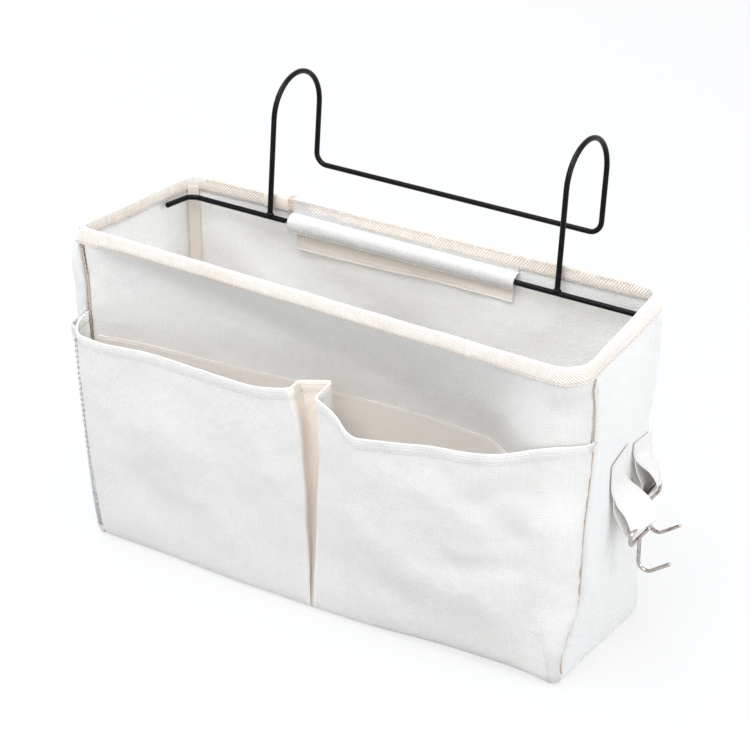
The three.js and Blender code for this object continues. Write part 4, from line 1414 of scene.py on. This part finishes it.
@dataclass
class NetPocket:
    """Open net pocket on the left side, with a hemmed top."""

    form: BagForm
    z_span: Span = (5.0, 174.0)
    pitch: float = 4.4
    yarn: float = 1.0
    stand: Profile = Profile((0, 60, 130, 174), (2.2, 5.5, 10.0, 12.0))

    def net(self, columns: int, rows: int, z_span: Span, extra: float = 0.0) -> np.ndarray:
        """Net of points over the pocket's face and its two turned-in sides."""
        t, z = np.meshgrid(np.linspace(0, 1, columns), np.linspace(*z_span, rows))
        s = 6 + np.interp(t, (0, 0.86, 1), (-0.03, 1.0, 1.97))
        face = ease(t / 0.08) * ease((0.98 - t) / 0.2)
        out = 1.4 + extra + (self.stand.at(z) - 1.0) * face + 1.4 * ease((1 - t) / 0.04) * (z / 170)
        return self.form.off(s, z, out)

    def build(self) -> None:
        """Build the net, its hems and their stitches."""
        columns, rows = int(152 / self.pitch), int(172 / self.pitch)
        face = lay_net("net_cloth", self.net(columns, rows, self.z_span))
        knots = len(face.data.vertices)
        with editing(face):
            bpy.ops.mesh.poke()
        pick_edges(face, lambda a, b: max(a.index, b.index) < knots)
        with editing(face, select_all=False):
            bpy.ops.mesh.dissolve_edges(use_verts=False)
        yarn = self.yarn * MM
        apply_modifier(face, "WIREFRAME", thickness=yarn, use_even_offset=False, use_boundary=True)
        smooth(face, 60)
        nodes = "net_face", "net_front_gusset", "net_back_gusset"
        settle(face, Slot.NET, Finishes.NET, *nodes)
        hem_span = self.z_span[1] - 8, self.z_span[1] + 1
        outer, inner = self.net(60, 8, hem_span, 0.7), self.net(60, 8, hem_span, -0.7)[::-1]
        roll = (outer[-1] + inner[0])[None] / 2 + 0.8 * UP
        hem = lay_net("net_hem", np.concatenate((outer, roll, inner)), 0.5)
        settle(hem, Slot.TAPE, Finishes.HEM, "net_top_hem")
        runs = [(outer[1], net_normals(outer)[1])]
        stitches = sew("net_stitches", runs, Stitch(3.2, 2.5, 0.4), Slot.TAPE)
        foot = lay_net("net_foot_tape", self.net(60, 5, (1.9, 7.0), 0.5), 0.5)
        settle(foot, Slot.TAPE, Finishes.HEM, "net_bottom_hem")


@dataclass(frozen=True)
class Tab:
    """One tab on the right side and its hook.

    Attributes:
        side: front or back, as in the names of its pieces and nodes.
        body: the body that its hook swings with.
        pivot: middle of the hook's eye.
        root: middle of the tab where it leaves the wall.
        top: height of its sewn upper end.
        flare: degrees that the loop stands out from the wall.
        belly: how far the outer ply bulges.
        twist: how far the back edge stands out, for each millimetre of width.
        tilt: how far the back edge stands up, for each millimetre of width.
    """

    side: str
    body: Body
    pivot: Point
    root: Point
    top: float
    flare: float
    belly: float
    twist: float
    tilt: float


@dataclass
class SideHooks:
    """Two cloth tabs on the right side, each with a swinging plated hook."""

    form: BagForm
    wire: float = 2.8
    eye_half: float = 14.0
    eye_drop: float = 9.5
    shank: float = 27.5
    bend: float = 6.5
    sweep: float = 126.0
    prong: float = 17.0
    width: float = 24.0
    tabs: tuple[Tab, ...] = (
        Tab(
            "front", Body.HOOK_FRONT, (213.796, 14.0, 100.788), (198.4, 14.0, 121.0),
            top=150, flare=38, belly=3.5, twist=0.28, tilt=0.27,
        ),
        Tab(
            "back", Body.HOOK_BACK, (204.31, 48.0, 111.224), (196.4, 48.0, 134.0),
            top=149, flare=12, belly=5.5, twist=-0.45, tilt=0.05,
        ),
    )

    def fold(self, tab: Tab) -> np.ndarray:
        """Net of a tab folded round its hook's eye."""
        pivot, root = np.array(tab.pivot), np.array(tab.root)
        angle = math.radians(tab.flare)
        out = np.array([math.cos(angle), 0, math.sin(angle)])
        down = np.array([math.sin(angle), 0, -math.cos(angle)])
        radius = self.wire / 2 + 2.0
        sewn = tab.top - root[2]
        path = [root + step for step in ((1.0, 0, sewn), (1.0, 0, sewn / 2), (1.2, 0, 1.5))]
        path += [pivot + out * (radius + tab.belly) - down * 11]
        for turn in np.linspace(90, -90, 9):
            t = math.radians(turn)
            path.append(pivot + radius * (out * math.sin(t) + down * math.cos(t)))
        path += [pivot - out * (radius - 1.2) - down * 9]
        path += [root + (-0.2, 0, up) for up in (-1.0, sewn / 2, sewn)]
        line = rounded_rows(np.array(path)[None], 2)[0]
        share = np.linspace(-0.5, 0.5, 13) * self.width
        net = line[:, None] + share[None, :, None] * np.array([0, 1.0, 0])
        hang = ease((root[2] + 4 - net[..., 2]) / 16)
        loose = ease((net[..., 0] - root[0] - 1.5) / 5) * ease((net[..., 2] - pivot[2] + 1) / 9)
        net[..., 0] += tab.twist * share * (hang if tab.twist > 0 else loose)
        net[..., 2] += tab.tilt * share * (1 - 0.55 * ease((pivot[2] + 12 - net[..., 2]) / 14))
        net[..., 0] += hang * (np.abs(share) / 12) ** 3 * 0.5 * ripple(net, 20, tab.flare)
        held = ease((net[..., 2] - root[2] - 1) / 7)
        ply = np.where(np.arange(len(line)) < len(line) // 2, 1.7, 0.7)[:, None]
        net[..., 0] += held * (self.wall_place(net[..., 1], net[..., 2]) + ply - net[..., 0])
        return net[::-1]

    def sew_on(self, tab: Tab) -> None:
        """Lay one tab and sew it to the side."""
        net = self.fold(tab)
        piece = lay_net("tab_" + tab.side, net, 0.8)
        settle(piece, Slot.CANVAS, Finishes.LIT_TAB, "side_tab_" + tab.side)
        normals = net_normals(net)
        runs = [(net[:, k], normals[:, k]) for k in (1, -2)]
        sewn = [sew(f"tab_{tab.side}_stitches", runs, Stitch(3.0, 2.3, 0.38), Slot.CANVAS)]

    def wall_place(self, y: np.ndarray, z: np.ndarray) -> np.ndarray:
        """How far out the right wall's outer face is at places on it."""
        return self.form.surface(self.form.place_on(2, 1, y, z), z)[..., 0]

    def hook(self, tab: Tab) -> None:
        """Bend a tab's hook: its eye, then its shank and prong."""
        name, pivot = f"hook_{tab.side}_wire", np.array(tab.pivot)
        along, down, out = np.array([0, 1.0, 0]), np.array([0, 0, -1.0]), np.array([1.0, 0, 0])
        corner = 3.0
        run, drop = self.eye_half - corner, self.eye_drop - 2 * corner
        eye = WireBender(name + "_eye", pivot, along, self.wire, 16).run(run)
        eye.bend(corner, 90, down, 6).run(drop).bend(corner, 90, -along, 6).run(2 * run)
        eye.bend(corner, 90, -down, 6).run(drop).bend(corner, 90, along, 6).run(run)
        loop = eye.cut()
        shank = WireBender(name, pivot + down * self.eye_drop, down, self.wire, 16)
        shank.run(self.shank - self.eye_drop).bend(self.bend, self.sweep, out, 14).run(self.prong)
        piece = shank.cut(1.1)
        pick(piece)
        loop.select_set(True)
        bpy.ops.object.join()
        settle(piece, Slot.NICKEL, Finishes.NICKEL, "side_hook_" + tab.side, body=tab.body)

    def build(self) -> None:
        """Build both tabs, then both hooks."""
        for tab in self.tabs:
            self.sew_on(tab)
        for tab in self.tabs:
            self.hook(tab)


@dataclass
class WireHanger:
    """Black wire hanger: a bar in the bag and two hooks joined by a rear bar."""

    wire: float = 4.0
    bar: Span = (57.34, 234.0)
    post_foot: float = 2.3
    lean: float = 6.0
    half_bar: float = 191.98
    bar_bend: float = 8.0
    leg: float = 29.5
    half_posts: float = 120.0
    rise: float = 104.0
    gap: float = 59.0
    rear_rise: float = 27.5
    rear_bend: float = 9.0

    def build(self) -> None:
        """Bend the lower bar and the hook wire, and weld them."""
        angle = math.radians(self.lean)
        right = np.array([1.0, 0, 0])
        up = np.array([0, math.sin(angle), math.cos(angle)])
        back = np.array([0, math.cos(angle), -math.sin(angle)])
        middle = np.array([0, *self.bar])
        tip = middle - right * self.half_bar - back * self.leg
        bar = WireBender("hanger_bar", tip, back, self.wire)
        bar.run(self.leg - self.bar_bend).bend(self.bar_bend, 90, right)
        bar.run(2 * (self.half_bar - self.bar_bend)).bend(self.bar_bend, 90, -back)
        bar.run(self.leg - self.bar_bend)
        nodes = "hanger_lower_bar", "hanger_end_left", "hanger_end_right"
        settle(bar.cut(0.5), Slot.WIRE, Finishes.WIRE, *nodes, body=Body.HANGER)
        round_ = self.gap / 2
        straight = self.rise - round_ - self.post_foot
        start = middle - right * self.half_posts + up * self.post_foot
        hooks = WireBender("hanger_hooks", start, up, self.wire)
        hooks.run(straight).bend(round_, 180, back, 24)
        fall = self.rise - round_ - self.rear_rise - self.rear_bend
        hooks.run(fall).bend(self.rear_bend, 90, right).run(2 * (self.half_posts - self.rear_bend))
        hooks.bend(self.rear_bend, 90, up).run(fall).bend(round_, 180, -back, 24).run(straight)
        settle(hooks.cut(), Slot.WIRE, Finishes.WIRE, "hanger_hook_wire", body=Body.HANGER)
        for side, name in ((-1, "left"), (1, "right")):
            self.weld("weld_" + name, middle + right * side * self.half_posts, up)

    def weld(self, name: str, place: np.ndarray, up: np.ndarray) -> None:
        """Shape one weld: a small fillet of metal round the foot of a post.

        Args:
            name: the piece's name; its node's name has hanger_ before it.
            place: middle of the bar under the post.
            up: direction of the post.
        """
        clear_selection()
        turn = Vector(up).to_track_quat("Z", "Y").to_euler()
        bpy.ops.mesh.primitive_uv_sphere_add(
            segments=20, ring_count=12, radius=1.0, location=(place + up * 2.0) * MM, rotation=turn
        )
        bead = bpy.context.object
        bead.name = bead.data.name = name
        bpy.ops.transform.resize(value=(3.1 * MM, 2.7 * MM, 1.9 * MM))
        bpy.ops.object.transform_apply(location=True, rotation=True, scale=True)
        smooth(bead, 80)
        settle(bead, Slot.WIRE, Finishes.WIRE, "hanger_" + name, body=Body.HANGER)


@dataclass
class BarFlap:
    """Cloth flap that closes over the lower bar, with its hook-and-loop strips."""

    form: BagForm
    x_span: Span = (-103.0, 87.0)
    strip_span: Span = (-100.0, 84.0)
    strip_heights: Span = (214.5, 229.5)
    root: tuple[Span, ...] = (
        (63.8, 249.8), (63.5, 246.5), (63.25, 243.6), (63.05, 241.2), (62.95, 239.3)
    )
    section: tuple[Span, ...] = (
        (62.75, 239.5), (60.2, 239.2), (57.4, 238.1), (55.3, 235.9),
        (54.6, 233.0), (54.8, 230.0), (55.7, 227.4), (56.5, 226.2),
    )
    cloth: float = 0.6

    def build(self) -> None:
        """Build the flap, its edge stitches and the two strips."""
        x = np.linspace(*self.x_span, 90)
        fixed = self.sweep(self.root, x)
        fixed[..., 1] -= 0.12 * ripple(fixed, 18, 6.6)
        root = lay_net("flap_root", fixed, self.cloth)
        settle(root, Slot.CANVAS, Finishes.FLAP)
        net = self.sweep(self.section, x)
        end = np.minimum(x - x[0], x[-1] - x)[None, :]
        lower = np.linspace(1, 0, len(net))[:, None]
        stray = np.exp(-((end / 9) ** 2)) * lower
        net[..., 1] -= 1.0 * stray + 0.35 * ripple(net, 18, 6.6) * lower
        net[..., 2] += (0.8 * ripple(net, 26, 1.6) + 2.2 * (x - x[0]) / (x[-1] - x[0])) * lower**2
        flap = lay_net("flap_cloth", net, self.cloth)
        settle(flap, Slot.CANVAS, Finishes.FLAP, "bar_flap", body=Body.FLAP)
        normals = net_normals(net)
        runs = [(net[k], normals[k]) for k in (1, 5)]
        sewn = [sew("flap_stitches", runs, Stitch(3.0, 2.5, 0.5), Slot.CANVAS, body=Body.FLAP)]
        self.stray_threads(net)
        self.strips(net)

    def sweep(self, section: Sequence[Span], x: np.ndarray) -> np.ndarray:
        """Net of a section carried along x, from its lower end up."""
        path = np.array([(0.0, y, z) for y, z in section])
        line = rounded_rows(path[None], 2)[0][::-1]
        net = np.repeat(line[:, None], len(x), axis=1)
        net[..., 0] = x
        return net

    def stray_threads(self, net: np.ndarray) -> None:
        """Lay loose threads on the flap and frayed ends along its left edge.

        Args:
            net: the flap's net.
        """
        face, rows = unit(np.array([0, -0.8, 0.6])), len(net)
        lines = []
        frays = (0, 0.5, 7), (0, 0.35, 5), (0, 0.25, 6), (1, 0.15, 8), (0, 0.05, 4)
        for k, (column, row, length) in enumerate(frays):
            start = net[int(row * (rows - 1)), column] + face * 0.6
            reach = np.linspace(0, 1, 12)[:, None]
            end = np.array([-0.8, -0.2, -0.5 + 0.25 * k]) * length
            curl = np.array([0.0, -1.0, 0.6]) * np.sin(reach * 2.6 + k) * 0.8
            lines.append((start + reach * end + curl, np.tile(face, (12, 1))))
        reach = np.linspace(0, 1, 30)[:, None]
        sweep = np.array([-92.0, 54.0, 229.5]) + reach * np.array([17.0, 1.6, 8.0])
        sweep[:, 2] += 1.2 * np.sin(reach[:, 0] * math.pi)
        lines.append((sweep, np.tile(face, (30, 1))))
        sew("flap_stray_threads", lines, Stitch(1.2, 1.2, 0.4), Slot.CANVAS, body=Body.FLAP)

    def strips(self, flap: np.ndarray) -> None:
        """Lay the loop strip under the flap and the hook strip on the wall.

        Args:
            flap: the flap's net.
        """
        under = flap - net_normals(flap) * (self.cloth + 0.05)
        loop = lay_net("loop_strip", under[:10, 2:-2], 0.6)
        settle(loop, Slot.STRIP, Finishes.STRIP, "flap_loop_strip", body=Body.FLAP)
        (left, right), (low, high) = self.strip_span, self.strip_heights
        x, z = np.meshgrid(np.linspace(left, right, 90), np.linspace(low, high, 12))
        tilt = (x - left) / (right - left) * 5.5 - 3
        z = z + 0.5 * np.sin(x / 31) + tilt * ((high - z) / (high - low))
        wall = self.form.surface(self.form.place_on(4, 0, x, np.full_like(x, 225.0)), z)
        y = np.minimum(wall[..., 1] - 3.2, 62.2) + 0.2 * np.sin(x / 9)
        wall_net = np.stack((x, y, z), axis=-1)
        strip = lay_net("wall_strip", wall_net, 0.8)
        settle(strip, Slot.STRIP, Finishes.STRIP, "wall_hook_strip")
        normals = net_normals(wall_net)
        runs = [(wall_net[k], normals[k]) for k in (0, 2)]
        sewn = [sew("strip_stitches", runs, Stitch(2.6, 2.5, 0.7), Slot.STRIP)]


@dataclass(frozen=True)
class Lamp:
    """One soft square lamp: its name, place and side in metres, and power in watts."""

    name: str
    place: Point
    size: float
    power: float


@dataclass
class Studio:
    """White floor, soft lamps and the camera of the photograph."""

    eye: Point = (820.2, -1268.2, 954.6)
    target: Point = (8.31, 0.0, 164.45)
    lens: float = 115.83
    sensor: float = 36.0
    clip: Span = (0.05, 50.0)
    sky: Colour = (0.71, 0.745, 0.79)
    white: Colour = (1.0, 1.0, 1.0)
    floor_size: float = 14.0
    floor_drop: float = 0.0006
    floor_colour: Colour = (0.52, 0.52, 0.52)
    floor_glow: float = 1.03
    floor_share: float = 0.76
    lamp_colour: Colour = (0.91, 0.955, 1.0)
    lamp_aim: Point = (0.0, 0.0, 0.13)
    lamps: tuple[Lamp, ...] = (
        Lamp("key", (2.4, 0.1, 1.15), 1.6, 31.0),
        Lamp("top", (0.4, -1.7, 1.95), 1.6, 21.0),
        Lamp("back", (-1.9, 1.4, 1.3), 1.6, 29.0),
        Lamp("inner", (-0.15, -0.45, 1.75), 1.0, 24.0),
    )

    def facing(self, eye: Point, target: Point) -> Euler:
        """Rotation of a camera or lamp that looks from one point to another."""
        return (Vector(target) - Vector(eye)).to_track_quat("-Z", "Y").to_euler()

    def camera(self) -> None:
        """Set the camera at the photograph's viewing angle."""
        clear_selection()
        turn = self.facing(self.eye, self.target)
        bpy.ops.object.camera_add(location=Vector(self.eye) * MM, rotation=turn)
        camera = bpy.context.object
        camera.name = "camera"
        camera.data.lens, camera.data.sensor_width = self.lens, self.sensor
        camera.data.clip_start, camera.data.clip_end = self.clip
        bpy.context.scene.camera = camera

    def hang(self, lamp: Lamp) -> None:
        """Hang one lamp that faces the bag."""
        turn = self.facing(lamp.place, self.lamp_aim)
        bpy.ops.object.light_add(type="AREA", location=lamp.place, rotation=turn)
        light = bpy.context.object
        light.name = lamp.name
        light.data.shape, light.data.size = "SQUARE", lamp.size
        light.data.energy, light.data.color = lamp.power, self.lamp_colour

    def backing(self, n: Nodes) -> Socket:
        """Amount, 0 or 1, by which a ray sees the plain white backing."""
        rays = n.add("ShaderNodeLightPath").outputs
        seen = n.math("MAXIMUM", rays["Is Camera Ray"], rays["Is Glossy Ray"])
        return n.math("MAXIMUM", seen, rays["Is Transmission Ray"])

    def world(self) -> None:
        """Light the scene from a soft sky that looks plain white."""
        n = Nodes(bpy.data.worlds.new("studio"))
        bpy.context.scene.world = n.owner
        tint = n.blend(self.backing(n), self.sky, self.white)
        n.feed(n.tree.nodes["Background"].inputs["Color"], tint)

    def floor(self) -> None:
        """Lay a plain pale floor that keeps a faint shadow."""
        clear_selection()
        bpy.ops.mesh.primitive_plane_add(size=self.floor_size, location=(0, 0, -self.floor_drop))
        bpy.ops.object.transform_apply(location=True, rotation=False, scale=False)
        floor = bpy.context.object
        floor.name = "floor"
        n = Nodes(bpy.data.materials.new("pale_floor"))
        n.gloss(Base_Color=(*self.floor_colour, 1.0), Roughness=0.9)
        glow, mix = n.add("ShaderNodeEmission"), n.add("ShaderNodeMixShader")
        n.feed(glow.inputs["Strength"], self.floor_glow)
        share = n.times(self.backing(n), self.floor_share)
        for socket, value in zip(mix.inputs, (share, n.shader.outputs[0], glow.outputs[0])):
            n.feed(socket, value)
        n.feed(n.tree.nodes["Material Output"].inputs["Surface"], mix.outputs[0])
        floor.data.materials.append(n.owner)

    def build(self) -> None:
        """Set the camera, the light and the floor."""
        bpy.context.scene.view_settings.view_transform = "Standard"
        self.camera()
        self.world()
        self.floor()
        for lamp in self.lamps:
            self.hang(lamp)


def main() -> None:
    """Build the caddy piece by piece in its studio."""
    logging.basicConfig(level=logging.INFO, format="%(message)s")
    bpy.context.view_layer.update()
    clear_selection()
    Studio().build()
    form = BagForm()
    for maker in (Shell, RimBinding, CornerTapes, FrontPockets, NetPocket, SideHooks):
        maker(form).build()
    WireHanger().build()
    BarFlap(form).build()


if __name__ == "__main__":
    main()
